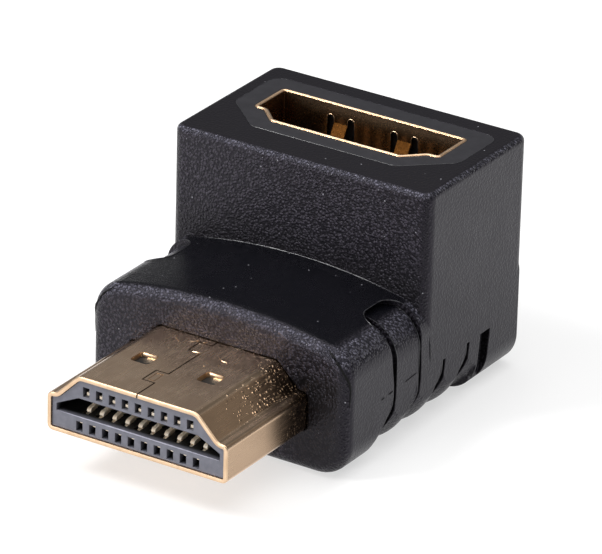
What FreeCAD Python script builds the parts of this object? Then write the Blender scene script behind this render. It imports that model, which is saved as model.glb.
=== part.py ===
import FreeCAD, Part
import Sketcher
import math
import os
from types import SimpleNamespace

# A right angle adapter for digital video leads. A flat plug points forward, along -Y, out of a low
# moulded block, and a socket of the same family opens upward in the tall block behind it. Both have a
# sheet metal shell round a moulded insulator, and their contacts are soldered to one small board. A
# hard inner moulding holds them all, and its nose shows round the socket. A soft outer moulding with
# grip grooves covers it. The origin is under the middle of the part's length, on the resting plane.

# Driving sizes in mm, with what each one is. Counts are plain numbers.
SIZES = {
    # Sheet metal shell of the plug. Its wide side faces down.
    "plug_side": (2.3, "from the long row's last contact to the shell's outer side"),
    "plug_depth": (4.45, "height of the section"),
    "plug_ledge": (2.75, "height of its upright sides"),
    "plug_shelf": (0.68, "from its upright side to the slope up to the narrow side"),
    "plug_reach": (9.4, "length in front of the moulding"),
    "plug_hidden": (3.6, "length inside the moulding"),
    "plug_axis": (5.2, "height of the plug's middle above the resting plane"),
    "sheet": (0.3, "thickness of the shells' sheet"),
    "fold_radius": (0.4, "outer radius of the shells' folds"),
    "curl_radius": (0.5, "radius where the side folds up to the narrow top"),
    "rim_chamfer": (0.12, "bevel of the plug's front rim"),
    "window_inset": (1.85, "from the middle to each latch window"),
    "window_width": (1.42, "latch window across the plug"),
    "window_start": (3.95, "from the rim to the latch windows"),
    "window_length": (1.45, "latch window along the plug"),
    "window_radius": (0.25, "corners of the latch windows"),
    "seam_gap": (0.06, "gap where the sheet's edges meet"),
    "seam_tab_width": (0.95, "how far the seam's tabs reach to the side"),
    "front_tab_start": (2.05, "from the rim to the first tab"),
    "front_tab_length": (1.6, "length of the first tab"),
    "rear_tab_start": (7.4, "from the rim to the second tab"),
    "rear_tab_length": (1.3, "length of the second tab"),
    # Insulator of the plug
    "plug_recess": (0.15, "how far it lies behind the rim"),
    "plug_backset": (0.6, "how far it ends before the shell does"),
    "fit_gap": (0.03, "clearance of pieces that sit in each other"),
    "cavity_wall": (0.65, "from the shell's outer side to the mouth for the other part's tongue"),
    "cavity_floor": (1.49, "from the shell's underside to the mouth's floor"),
    "cavity_height": (1.32, "height of the mouth"),
    "cavity_side": (0.49, "height of the mouth's upright sides"),
    "cavity_margin": (0.45, "from the short row's last contact to the mouth's slope"),
    "cavity_depth": (6.8, "depth of the mouth behind the rim"),
    "slot_width": (0.5, "slots that the contact tips lie in"),
    "slot_height": (0.69, "height of those slots"),
    "slot_low": (0.46, "from the shell's underside to the lower slots"),
    "slot_high": (0.75, "from the shell's top to the upper slots"),
    "web_length": (0.6, "front web that closes each slot"),
    # Contacts
    "pitch": (1.0, "distance between neighbours in a row"),
    "contact_width": (0.3, "width of a contact"),
    "contact_sheet": (0.2, "thickness of a contact"),
    "crest_rise": (0.26, "how far a plug contact stands into the mouth"),
    "crest_place": (2.0, "from the rim to a plug contact's crest"),
    "beam_root": (5.2, "from the rim to where its spring begins"),
    "tip_place": (0.45, "from the rim to a plug contact's tip"),
    "tail_room": (0.25, "straight run at each end of a plug contact's bend"),
    "tail_lap": (1.4, "length of a plug contact's tail on the board"),
    # Circuit board
    "board_sheet": (0.8, "thickness of the board"),
    "board_margin": (0.5, "from the board's edge to the inner moulding's side"),
    # Socket shell. Its wide side faces the rear.
    "socket_side": (2.35, "inside, from the long row's last contact to the upright side"),
    "socket_depth": (4.55, "inside depth"),
    "socket_ledge": (3.2, "inside depth of its upright sides"),
    "socket_shelf": (0.7, "inside, from its upright side to the slope to the narrow side"),
    "socket_lift": (0.9, "from the board to the shell's lower edge"),
    "finger_place": (2.5, "from the middle to each spring finger"),
    "finger_width": (1.06, "width of a spring finger"),
    "finger_slot": (0.55, "slot on each side of a finger"),
    "finger_top": (0.55, "from the rim to the slots"),
    "finger_bend": (1.3, "from the rim to the finger's first bend"),
    "finger_crest": (2.1, "from the rim to the finger's crest"),
    "finger_end": (4.45, "from the rim to the finger's tip"),
    "finger_inward": (0.45, "how far the crest stands into the socket"),
    "finger_return": (0.1, "how far the tip stands into the socket"),
    "leg_width": (0.8, "width of a leg of the shell"),
    "leg_place": (1.4, "from the socket's middle to each leg"),
    "leg_gap": (0.1, "clearance of a leg in the board"),
    # Insulator of the socket
    "base_lift": (0.5, "from the board to the base"),
    "base_sheet": (3.9, "thickness of the base"),
    "tongue_recess": (1.4, "from the rim to the tongue's tip"),
    "tongue_gap": (1.0, "from the shell's inner side to the tongue"),
    "tongue_sheet": (1.0, "thickness of the tongue"),
    "tongue_side": (0.35, "thickness of the tongue's upright edges"),
    "tongue_shift": (0.07, "from the socket's middle to the tongue's, to the rear"),
    "tongue_chamfer": (0.2, "chamfer round the tongue's tip"),
    "contact_start": (0.4, "from the tongue's tip to its contacts"),
    "contact_proud": (0.02, "how far they stand out of the tongue"),
    "foot_reach": (0.45, "how far their feet reach past the shell"),
    # Inner moulding
    "nose_side": (1.5, "moulding beside the socket"),
    "nose_wall": (1.425, "moulding in front of and behind the socket"),
    "nose_step": (0.5, "how far the lower part lies inside the nose's sides"),
    "nose_chamfer_across": (3.2, "bevel of the nose's front corners, across"),
    "nose_chamfer_along": (2.9, "bevel of the nose's front corners, along"),
    "nose_radius": (1.0, "corners of the nose"),
    "inner_cover": (0.775, "moulding over the plug's shell"),
    "tail_clear": (0.3, "room round the soldered tails"),
    # Outer moulding
    "mould_gap": (0.02, "parting between the two mouldings"),
    "exit_gap": (0.06, "gap round the plug where it leaves the moulding"),
    "front_wall": (1.5, "in front of the inner moulding"),
    "rear_wall": (1.8, "behind the inner moulding"),
    "side_wall": (1.2, "beside the nose"),
    "base_wall": (1.8, "under the inner moulding"),
    "step_wall": (1.95, "over the inner moulding, in the low block"),
    "block_wall": (2.8, "in front of the nose, in the tall block"),
    "step_length": (9.4, "length of the low block"),
    "body_height": (17.0, "height of the tall block"),
    "crown_rise": (1.3, "how far the low block's top is crowned"),
    "shoulder_radius": (2.3, "upper corners of the low block"),
    "keel_radius": (2.4, "lower corners of the body"),
    "front_radius": (0.9, "edge of the front face"),
    "rear_chamfer": (0.45, "edge of the low block's rear face"),
    "block_radius": (0.8, "upright corners of the tall block"),
    "top_radius": (0.45, "edge of the top"),
    # Grip grooves
    "groove_first": (5.9, "from the front face to the first groove"),
    "groove_pitch": (3.07, "distance between grooves"),
    "groove_width": (0.32, "width of a groove"),
    "groove_depth": (0.35, "depth of a groove"),
    "groove_lean": (0.55, "how far their lower ends lean forward"),
    "groove_run": (3.0, "how far the grooves run in under the body"),
    "parting_height": (4.3, "height where the lower half's grooves end"),
    "loop_foot": (4.9, "height where the two front grooves start to lean"),
    "rib_drop": (0.4, "how far the rib between them lies below the crown"),
    "rib_radius": (2.7, "upper corners of that rib"),
    "loop_height": (2.08, "reach of their loop over the shoulder"),
    "loop_radius": (1.3, "corners of that loop"),
    "front_lean": (1.2, "how far the first groove leans forward"),
    "rear_lean": (0.35, "how far the second groove leans forward"),
    "notch_length": (1.25, "length of the wide notch behind the grooves"),
    "notch_depth": (0.6, "depth of the wide notch"),
    "valley_radius": (4.1, "corner radius along the valleys between the ribs"),
    "valley_depth": (0.41, "depth of those valleys below the notch behind the ribs"),
    "rib_point": (0.55, "how high the ribs' slopes would meet above the valleys"),
    "crest_radius": (2.0, "rounding of the ribs' crests"),
    "rib_inset": (0.29, "how far the notch lies inside the lower corner"),
}
LONG_ROW = 10
SHORT_ROW = 9
GROOVES = 4

# Trigonometry of the shells' 45 degree slopes, and how far a cutting sketch lies outside the part
SLOPE_SHIFT = math.tan(math.radians(22.5))
COS_45 = math.cos(math.radians(45))
CLEAR = 1.0
SAME = 1e-6


class Size:
    """A length that knows its value and its formula in the sheet's words."""

    def __init__(self, value, formula):
        self.value = value
        self.formula = formula

    def __add__(self, other):
        other = as_size(other)
        return Size(self.value + other.value, f"({self.formula} + {other.formula})")

    def __sub__(self, other):
        other = as_size(other)
        return Size(self.value - other.value, f"({self.formula} - {other.formula})")

    def __mul__(self, other):
        other = as_size(other)
        return Size(self.value * other.value, f"({self.formula} * {other.formula})")

    def __truediv__(self, other):
        other = as_size(other)
        return Size(self.value / other.value, f"({self.formula} / {other.formula})")

    def __neg__(self):
        return Size(-self.value, f"(0 - {self.formula})")

    def root(self):
        return Size(math.sqrt(self.value), f"sqrt({self.formula})")


def as_size(number):
    if isinstance(number, Size):
        return number
    return Size(float(number), f"({float(number)!r})")


def make_sheet(doc):
    """Write the driving sizes in a spreadsheet, and give them back by name."""
    sheet = doc.addObject("Spreadsheet::Sheet", "Sizes")
    for row, (alias, (value, note)) in enumerate(SIZES.items(), start=1):
        sheet.set(f"A{row}", note)
        sheet.set(f"B{row}", str(value))
        sheet.setAlias(f"B{row}", alias)
    doc.recompute()
    names = {alias: Size(float(sheet.get(alias)), f"Sizes.{alias}") for alias in SIZES}
    return SimpleNamespace(**names)


def place_levels(d):
    """Work out the shared levels along Y and Z, and the shared half widths, from the driving sizes."""
    p = SimpleNamespace()
    # Across, from the two rows of contacts outward
    p.long_half = d.pitch * ((LONG_ROW - 1) / 2) + d.contact_width / 2
    p.short_half = d.pitch * ((SHORT_ROW - 1) / 2) + d.contact_width / 2
    p.plug_half = p.long_half + d.plug_side
    p.socket_half = p.long_half + d.socket_side
    p.nose_half = p.socket_half + d.sheet + d.nose_side
    p.inner_half = p.nose_half - d.nose_step
    p.board_half = p.inner_half - d.board_margin
    p.body_half = p.nose_half + d.side_wall
    # Along, from the plug's rim at the front to the body's rear
    p.shell_depth = d.socket_depth + d.sheet * 2
    p.nose_depth = p.shell_depth + d.nose_wall * 2
    p.block_length = d.rear_wall + p.nose_depth + d.block_wall
    p.back = (d.plug_reach + d.step_length + p.block_length) / 2
    p.rim = -p.back
    p.face = p.rim + d.plug_reach
    p.step = p.face + d.step_length
    p.inner_front = p.face + d.front_wall
    p.inner_back = p.back - d.rear_wall
    p.socket = p.inner_back - p.nose_depth / 2
    p.shell_end = p.face + d.plug_hidden
    p.insulator_end = p.shell_end - d.plug_backset
    # Up, from the resting plane
    p.plug_low = d.plug_axis - d.plug_depth / 2
    p.plug_high = d.plug_axis + d.plug_depth / 2
    p.board_low = d.plug_axis - d.board_sheet / 2
    p.board_high = d.plug_axis + d.board_sheet / 2
    p.inner_top = p.plug_high + d.inner_cover
    p.step_height = p.inner_top + d.step_wall
    p.shoulder = p.step_height - d.crown_rise
    p.socket_low = p.board_high + d.socket_lift
    p.base_low = p.board_high + d.base_lift
    p.base_top = p.base_low + d.base_sheet
    p.tongue_top = d.body_height - d.tongue_recess
    # The contacts' runs inside the plug, and the room that their bends need in front of the board
    p.low_run = p.plug_low + d.slot_low + d.fit_gap + d.contact_sheet / 2
    p.high_run = p.plug_high - d.slot_high - d.fit_gap - d.contact_sheet / 2
    p.low_bend = p.board_low - d.contact_sheet / 2 - p.low_run
    p.high_bend = p.high_run - p.board_high - d.contact_sheet / 2
    p.board_front = p.insulator_end + d.tail_room * 2 + p.low_bend
    p.board_back = p.inner_back - d.board_margin
    return p


# Helpers for bodies, sketches and features

def new_body(doc, name):
    body = doc.addObject("PartDesign::Body", name)
    body.Label = name
    return body


def origin_feature(body, role):
    return [item for item in body.Origin.OriginFeatures if item.Role == role][0]


def new_sketch(body, role, offset=0, turn=None):
    """Attach a sketch to a plane of the body's own origin, moved out by the offset along its normal.

    A sketch on the XZ plane looks along +Y, so its normal is -Y, and its offset is turned round here.
    """
    sketch = body.newObject("Sketcher::SketchObject", "Sketch")
    sketch.AttachmentSupport = (origin_feature(body, role), [""])
    sketch.MapMode = "FlatFace"
    if turn is not None:
        sketch.AttachmentOffset = FreeCAD.Placement(FreeCAD.Vector(), turn)
    offset = as_size(offset)
    if role == "XZ_Plane":
        offset = -offset
    sketch.setExpression("AttachmentOffset.Base.z", offset.formula)
    return sketch


def bind(sketch, constraints):
    """Add the constraints, each a tuple of its arguments with a Size last, and tie them to the sheet."""
    first = sketch.ConstraintCount
    sketch.addConstraint([Sketcher.Constraint(*item[:-1], item[-1].value) for item in constraints])
    for index, item in enumerate(constraints, start=first):
        sketch.setExpression(f"Constraints[{index}]", item[-1].formula)


def arc_between(start, end, centre, radius, counterclockwise):
    """An arc edge for a sketch, and which of its ends is the start of the outline's direction."""
    if not counterclockwise:
        start, end = end, start
    circle = Part.Circle(centre, FreeCAD.Vector(0, 0, 1), radius)
    begin = math.atan2(start.y - centre.y, start.x - centre.x)
    finish = math.atan2(end.y - centre.y, end.x - centre.x)
    if finish <= begin:
        finish += 2 * math.pi
    ends = (1, 2) if counterclockwise else (2, 1)
    return Part.ArcOfCircle(circle, begin, finish), ends


def side_centre(start, end, radius, left):
    """Centre of the arc of this radius through both points, on the given side of the way."""
    way = end - start
    across = FreeCAD.Vector(-way.y, way.x, 0).normalize()
    height = math.sqrt(max(radius * radius - way.Length ** 2 / 4, 0))
    return (start + end) / 2 + across * (height if left else -height)


def outline(sketch, corners, curves=None):
    """Draw a closed outline through the corners, each (x, y) or (x, y, radius of its rounding).

    curves gives, by the number of the corner where a side starts, the radius of a side that is an
    arc between two sharp corners: positive with the arc's centre on the left of the way.
    """
    curves = curves or {}
    count = len(corners)
    points = [FreeCAD.Vector(as_size(c[0]).value, as_size(c[1]).value, 0) for c in corners]
    entries = []
    exits = []
    roundings = {}
    for index, corner in enumerate(corners):
        here = points[index]
        if len(corner) < 3:
            entries.append(here)
            exits.append(here)
            continue
        radius = corner[2].value
        before = (points[index - 1] - here).normalize()
        after = (points[(index + 1) % count] - here).normalize()
        half = before.getAngle(after) / 2
        middle = (before + after).normalize()
        entries.append(here + before * (radius / math.tan(half)))
        exits.append(here + after * (radius / math.tan(half)))
        centre = here + middle * (radius / math.sin(half))
        turns_left = (-before).cross(after).z > 0
        roundings[index] = arc_between(entries[index], exits[index], centre, radius, turns_left)

    first = sketch.GeometryCount
    sides = []
    side_ends = []
    for index in range(count):
        start = exits[index]
        end = entries[(index + 1) % count]
        if index in curves:
            radius = curves[index].value
            left = radius > 0
            centre = side_centre(start, end, abs(radius), left)
            side, ends = arc_between(start, end, centre, abs(radius), left)
        else:
            side, ends = Part.LineSegment(start, end), (1, 2)
        sides.append(side)
        side_ends.append(ends)
    sketch.addGeometry(sides, False)
    arc_numbers = {}
    for index, (arc, ends) in roundings.items():
        arc_numbers[index] = sketch.addGeometry(arc, False)
    anchors = sketch.addGeometry([Part.Point(point) for point in points], True)
    if isinstance(anchors, int):
        anchors = [anchors]

    joints = []
    bound = []
    for index, corner in enumerate(corners):
        anchor = anchors[index]
        previous = (index - 1) % count
        came, left_by = first + previous, first + index
        came_end, left_start = side_ends[previous][1], side_ends[index][0]
        bound.append(("DistanceX", -1, 1, anchor, 1, as_size(corner[0])))
        bound.append(("DistanceY", -1, 1, anchor, 1, as_size(corner[1])))
        if index in roundings:
            arc, ends = arc_numbers[index], roundings[index][1]
            joints.append(Sketcher.Constraint("PointOnObject", anchor, 1, came))
            joints.append(Sketcher.Constraint("PointOnObject", anchor, 1, left_by))
            joints.append(Sketcher.Constraint("Tangent", came, came_end, arc, ends[0]))
            joints.append(Sketcher.Constraint("Tangent", arc, ends[1], left_by, left_start))
            bound.append(("Radius", arc, corner[2]))
        else:
            joints.append(Sketcher.Constraint("Coincident", came, came_end, anchor, 1))
            joints.append(Sketcher.Constraint("Coincident", anchor, 1, left_by, left_start))
        if index in curves:
            radius = curves[index]
            bound.append(("Radius", first + index, radius if radius.value > 0 else -radius))
    sketch.addConstraint(joints)
    bind(sketch, bound)


def rectangle(sketch, low_x, high_x, low_y, high_y, radius=None):
    ways = [(low_x, low_y), (high_x, low_y), (high_x, high_y), (low_x, high_y)]
    outline(sketch, [way if radius is None else way + (radius,) for way in ways])


def mirrored_corners(half):
    """Corners of a symmetric outline from those of its right half, bottom to top."""
    left = [(-as_size(corner[0]),) + tuple(corner[1:]) for corner in reversed(half)]
    return half + left


def pad(body, sketch, length, backward=False, symmetric=False):
    feature = body.newObject("PartDesign::Pad", "Pad")
    return extruded(feature, sketch, length, backward, symmetric, 1)


def pocket(body, sketch, length, backward=False, symmetric=False):
    feature = body.newObject("PartDesign::Pocket", "Pocket")
    return extruded(feature, sketch, length, backward, symmetric, -1)


def extruded(feature, sketch, length, backward, symmetric, sign):
    """Set up a pad, with sign 1, or a pocket, with sign -1."""
    body = feature._Body
    before = volume_so_far(body, feature)
    feature.Profile = sketch
    feature.setExpression("Length", as_size(length).formula)
    feature.Reversed = backward
    if symmetric:
        feature.SideType = "Symmetric"
    return recomputed(feature, before, sign)


def recomputed(feature, before, sign):
    """Recompute the body up to this feature, and see that it added or removed material."""
    body = feature._Body
    body.Tip = feature
    feature.Document.recompute()
    change = feature.Shape.Volume - before
    if change * sign <= SAME:
        raise RuntimeError(f"{body.Label}: {feature.Name} changed the volume by {change:.4f}")
    return feature


def turned_cut(body, sketch, place):
    """Cut away a quarter turn of the sketch about an upright line of it, from the side to below."""
    start, end = FreeCAD.Vector(place.value, 0, 0), FreeCAD.Vector(place.value, 1, 0)
    axis = sketch.addGeometry(Part.LineSegment(start, end), True)
    sketch.addConstraint(Sketcher.Constraint("Vertical", axis))
    bind(sketch, [("DistanceX", -1, 1, axis, 1, place),
                  ("DistanceY", -1, 1, axis, 1, as_size(0)),
                  ("DistanceY", axis, 1, axis, 2, as_size(1))])
    feature = body.newObject("PartDesign::Groove", "Groove")
    before = volume_so_far(body, feature)
    feature.Profile = sketch
    feature.ReferenceAxis = (sketch, ["Axis0"])
    feature.Angle = 90
    return recomputed(feature, before, -1)


def volume_so_far(body, feature):
    base = feature.BaseFeature
    return base.Shape.Volume if base is not None else 0.0


def mirror(body, features):
    """Repeat the features on the other side of the YZ plane."""
    copy = body.newObject("PartDesign::Mirrored", "Mirrored")
    copy.Originals = features
    copy.MirrorPlane = (origin_feature(body, "YZ_Plane"), [""])
    body.Tip = copy
    body.Document.recompute()
    return copy


def repeat_across(body, feature, count, pitch):
    """Repeat a feature along X."""
    row = body.newObject("PartDesign::LinearPattern", "Row")
    row.Originals = [feature]
    row.Direction = (origin_feature(body, "X_Axis"), [""])
    row.setExpression("Length", (pitch * (count - 1)).formula)
    row.Occurrences = count
    body.Tip = row
    body.Document.recompute()
    return row


def edges_where(feature, test):
    """Names of the feature's edges whose whole length passes the test."""
    names = []
    for number, edge in enumerate(feature.Shape.Edges, start=1):
        places = edge.discretize(5)
        if all(test(place) for place in places):
            names.append(f"Edge{number}")
    return names


def finish_edges(body, feature, kind, names, size):
    """Fillet or chamfer the named edges."""
    finish = body.newObject(f"PartDesign::{kind}", kind)
    finish.Base = (feature, names)
    finish.setExpression("Radius" if kind == "Fillet" else "Size", size.formula)
    body.Tip = finish
    body.Document.recompute()
    return finish


# Outlines that several pieces share

def shell_corners(side, depth, ledge, shelf, d, inset):
    """Corners of a shell's outline, moved inward by the inset, with its wide side at height 0.

    The right half goes up from the wide side: an upright side, a short shelf, a 45 degree slope
    and the narrow top. Inset outlines keep their sides parallel to the outer one.
    """
    slope_foot = side - shelf
    narrow_half = slope_foot - depth + ledge
    half = [
        (side - inset, inset, d.fold_radius - inset),
        (side - inset, ledge - inset, d.fold_radius - inset),
        (slope_foot - inset * SLOPE_SHIFT, ledge - inset, d.curl_radius + inset),
        (narrow_half - inset * SLOPE_SHIFT, depth - inset, d.fold_radius - inset),
    ]
    return mirrored_corners(half)


def plug_corners(d, p, inset):
    """The plug's outline in the XZ plane."""
    corners = shell_corners(p.plug_half, d.plug_depth, d.plug_ledge, d.plug_shelf, d, as_size(inset))
    return [(x, p.plug_low + z, radius) for x, z, radius in corners]


def socket_corners(d, p, inset):
    """The socket shell's outline in the XY plane, with its wide side to the rear."""
    side = p.socket_half + d.sheet
    ledge = d.socket_ledge + d.sheet * 2
    shelf = d.socket_shelf + d.sheet * (1 - SLOPE_SHIFT)
    corners = shell_corners(side, p.shell_depth, ledge, shelf, d, as_size(inset))
    rear = p.socket + p.shell_depth / 2
    return [(x, rear - y, radius) for x, y, radius in reversed(corners)]


def nose_corners(d, p, grow):
    """The nose of the inner moulding, seen from above, with its front corners bevelled."""
    half = p.nose_half + grow
    front = p.socket - p.nose_depth / 2 - grow
    back = p.inner_back + grow
    bevel = half - d.nose_chamfer_across
    return mirrored_corners([
        (bevel, front, d.nose_radius),
        (half, front + d.nose_chamfer_along, d.nose_radius),
        (half, back, d.nose_radius),
    ])


def crowned_section(sketch, half, bottom, top, crown_radius, shoulder_radius, keel_radius):
    """A flat bottomed section with upright sides, rounded corners and a crowned top."""
    w, low, high = half.value, bottom.value, top.value
    crown, shoulder, keel = crown_radius.value, shoulder_radius.value, keel_radius.value
    point = FreeCAD.Vector
    centre = point(0, high - crown, 0)
    rise = math.sqrt((crown - shoulder) ** 2 - (w - shoulder) ** 2)
    right = point(w - shoulder, centre.y + rise, 0)
    left = point(-right.x, right.y, 0)
    touch = centre + (right - centre).normalize() * crown
    touch_left = point(-touch.x, touch.y, 0)
    keel_right = point(w - keel, low + keel, 0)
    keel_left = point(-keel_right.x, keel_right.y, 0)
    axis = point(0, 0, 1)

    def arc(middle, radius, start, end):
        angles = [math.atan2(place.y - middle.y, place.x - middle.x) for place in (start, end)]
        if angles[1] <= angles[0]:
            angles[1] += 2 * math.pi
        return Part.ArcOfCircle(Part.Circle(middle, axis, radius), *angles)

    places = [
        point(keel_left.x, low, 0), point(keel_right.x, low, 0),
        point(w, keel_right.y, 0), point(w, right.y, 0),
        touch, touch_left,
        point(-w, left.y, 0), point(-w, keel_left.y, 0),
    ]
    sides = [
        Part.LineSegment(places[0], places[1]),
        arc(keel_right, keel, places[1], places[2]),
        Part.LineSegment(places[2], places[3]),
        arc(right, shoulder, places[3], places[4]),
        arc(centre, crown, places[4], places[5]),
        arc(left, shoulder, places[5], places[6]),
        Part.LineSegment(places[6], places[7]),
        arc(keel_left, keel, places[7], places[0]),
    ]
    sketch.addGeometry(sides, False)
    joints = [Sketcher.Constraint("Tangent", n, 2, (n + 1) % 8, 1) for n in range(8)]
    joints.append(Sketcher.Constraint("Horizontal", 0))
    joints.append(Sketcher.Constraint("Vertical", 2))
    joints.append(Sketcher.Constraint("Vertical", 6))
    joints.append(Sketcher.Constraint("PointOnObject", 4, 3, -2))
    sketch.addConstraint(joints)
    bind(sketch, [
        ("DistanceX", -1, 1, 2, 1, half),
        ("DistanceX", -1, 1, 6, 1, -half),
        ("DistanceY", -1, 1, 0, 1, bottom),
        ("DistanceY", -1, 1, 4, 3, top - crown_radius),
        ("Radius", 4, crown_radius),
        ("Radius", 3, shoulder_radius),
        ("Radius", 5, shoulder_radius),
        ("Radius", 1, keel_radius),
        ("Radius", 7, keel_radius),
    ])


# Outer moulding

def groove_places(d, p):
    return [p.face + d.groove_first + d.groove_pitch * number for number in range(GROOVES)]


def looped_places(d, p):
    """The two front grooves, which run over the shoulder and meet."""
    front, rear, *_ = groove_places(d, p)
    return front, rear


def leaning_slot(sketch, d, front, back, top):
    """An upright slot whose lower end leans forward where it passes round the lower corner."""
    lean = d.groove_lean
    floor = -as_size(CLEAR)
    outline(sketch, [(front - lean, floor), (back - lean, floor), (back - lean, 0),
                     (back, d.valley_radius), (back, top), (front, top),
                     (front, d.valley_radius), (front - lean, 0)])


def side_grooves(body, d, p):
    """Upright grooves cut in from the right side: the looped pair reach higher than the others."""
    sketch = new_sketch(body, "YZ_Plane", p.body_half + CLEAR)
    half = d.groove_width / 2
    looped = len(looped_places(d, p))
    for number, place in enumerate(groove_places(d, p)):
        top = d.loop_foot + half if number < looped else d.parting_height
        leaning_slot(sketch, d, place - half, place + half, top)
    return pocket(body, sketch, d.groove_run + CLEAR)


def loop_recess(body, d, p):
    """The recess over the right shoulder that the two front grooves run round, cut at 45 degrees."""
    corner = (p.body_half + p.shoulder) / 2 + CLEAR / 2
    turn = FreeCAD.Rotation(FreeCAD.Vector(1, 0, 0), -45)
    sketch = new_sketch(body, "YZ_Plane", corner, turn)
    sketch.setExpression("AttachmentOffset.Base.y", corner.formula)
    half = d.groove_width / 2
    front, rear = looped_places(d, p)
    foot = (d.loop_foot - p.body_half) * COS_45
    crest = (p.shoulder - p.body_half) * COS_45 + d.loop_height + half
    outline(sketch, [
        (front - half, foot),
        (rear + half, foot),
        (rear - d.rear_lean + half, crest, d.loop_radius),
        (front - d.front_lean - half, crest, d.loop_radius),
    ])
    deepest = (p.body_half - d.groove_depth * 2 + d.loop_foot) * COS_45
    return pocket(body, sketch, corner * (2 * COS_45) - deepest)


def looped_rib(body, d, p, crown):
    """The rib inside the loop: flush with the sides, but lower than the crown round it."""
    front, rear = looped_places(d, p)
    half = d.groove_width / 2
    section = new_sketch(body, "XZ_Plane", front + half)
    crowned_section(section, p.body_half, d.groove_depth, p.step_height - d.rib_drop,
                    crown - d.rib_drop, d.rib_radius, d.keel_radius)
    return pad(body, section, rear - front - d.groove_width, backward=True)


def scallops(body, d, p):
    """Round the ribs along the lower right corner, with a valley at each groove.

    The cut is turned about a line along the body, so that the valleys run out into the side and
    into the underside.
    """
    sketch = new_sketch(body, "XY_Plane", d.valley_radius)
    valley = p.body_half
    point = valley + d.rib_point
    level = valley + d.valley_depth
    outer = level + d.rib_inset
    half = d.groove_pitch / 2
    places = [place - d.groove_lean * COS_45 for place in groove_places(d, p)]
    front = places[0] - half * (outer - valley) / d.rib_point
    notch = places[-1] + half
    corners = [(outer, front), (valley, places[0])]
    for place in places[1:]:
        corners += [(point, place - half, d.crest_radius), (valley, place)]
    corners += [(level, notch), (outer, notch), (outer + CLEAR, notch), (outer + CLEAR, front)]
    outline(sketch, corners)
    return turned_cut(body, sketch, p.body_half - d.valley_radius)


def side_notch(body, d, p):
    """The wide notch behind the grooves."""
    sketch = new_sketch(body, "YZ_Plane", p.body_half + CLEAR)
    front = groove_places(d, p)[-1] + d.groove_pitch / 2
    leaning_slot(sketch, d, front, front + d.notch_length, d.parting_height)
    return pocket(body, sketch, d.notch_depth + CLEAR)


def make_outer_mould(doc, d, p):
    body = new_body(doc, "outer_mould")
    crown = (p.body_half * p.body_half + d.crown_rise * d.crown_rise) / (d.crown_rise * 2)

    section = new_sketch(body, "XZ_Plane", p.face)
    crowned_section(section, p.body_half, as_size(0), p.step_height, crown,
                    d.shoulder_radius, d.keel_radius)
    low_block = pad(body, section, p.back - p.face, backward=True)
    front = edges_where(low_block, lambda place: abs(place.y - p.face.value) < SAME)
    eased = finish_edges(body, low_block, "Fillet", front, d.front_radius)
    rear = edges_where(eased, lambda place: abs(place.y - p.back.value) < SAME)
    finish_edges(body, eased, "Chamfer", rear, d.rear_chamfer)

    # The grooves and the recess are cut deep. A smaller section then fills all but their depth, and
    # the rib between the two front grooves fills the rest of the recess.
    cuts = [side_grooves(body, d, p), loop_recess(body, d, p)]
    mirror(body, cuts)
    core = new_sketch(body, "XZ_Plane", p.face + CLEAR)
    drop = d.rib_drop + d.groove_depth
    crowned_section(core, p.body_half - d.groove_depth, d.groove_depth, p.step_height - drop,
                    crown - drop, d.rib_radius - d.groove_depth, d.valley_radius - d.groove_depth)
    pad(body, core, p.back - p.face - CLEAR * 2, backward=True)
    looped_rib(body, d, p, crown)
    mirror(body, [scallops(body, d, p), side_notch(body, d, p)])

    # The tall block stands on the mould's parting height
    plan = new_sketch(body, "XY_Plane", d.parting_height)
    rectangle(plan, -p.body_half, p.body_half, p.step, p.back, d.block_radius)
    block = pad(body, plan, d.body_height - d.parting_height)
    top = edges_where(block, lambda place: abs(place.z - d.body_height.value) < SAME)
    finish_edges(body, block, "Fillet", top, d.top_radius)

    # Room for the inner moulding, its nose and the plug
    room = new_sketch(body, "XY_Plane", p.inner_top + d.mould_gap)
    rectangle(room, -p.inner_half - d.mould_gap, p.inner_half + d.mould_gap,
              p.inner_front - d.mould_gap, p.inner_back + d.mould_gap, d.nose_radius)
    pocket(body, room, p.inner_top - d.base_wall + d.mould_gap * 2)
    nose = new_sketch(body, "XY_Plane", d.body_height)
    outline(nose, nose_corners(d, p, d.mould_gap))
    pocket(body, nose, d.body_height - d.plug_axis + d.mould_gap)
    passage = new_sketch(body, "XZ_Plane", p.face)
    outline(passage, plug_corners(d, p, -d.exit_gap))
    pocket(body, passage, d.front_wall)
    return body


# Inner moulding

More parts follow.
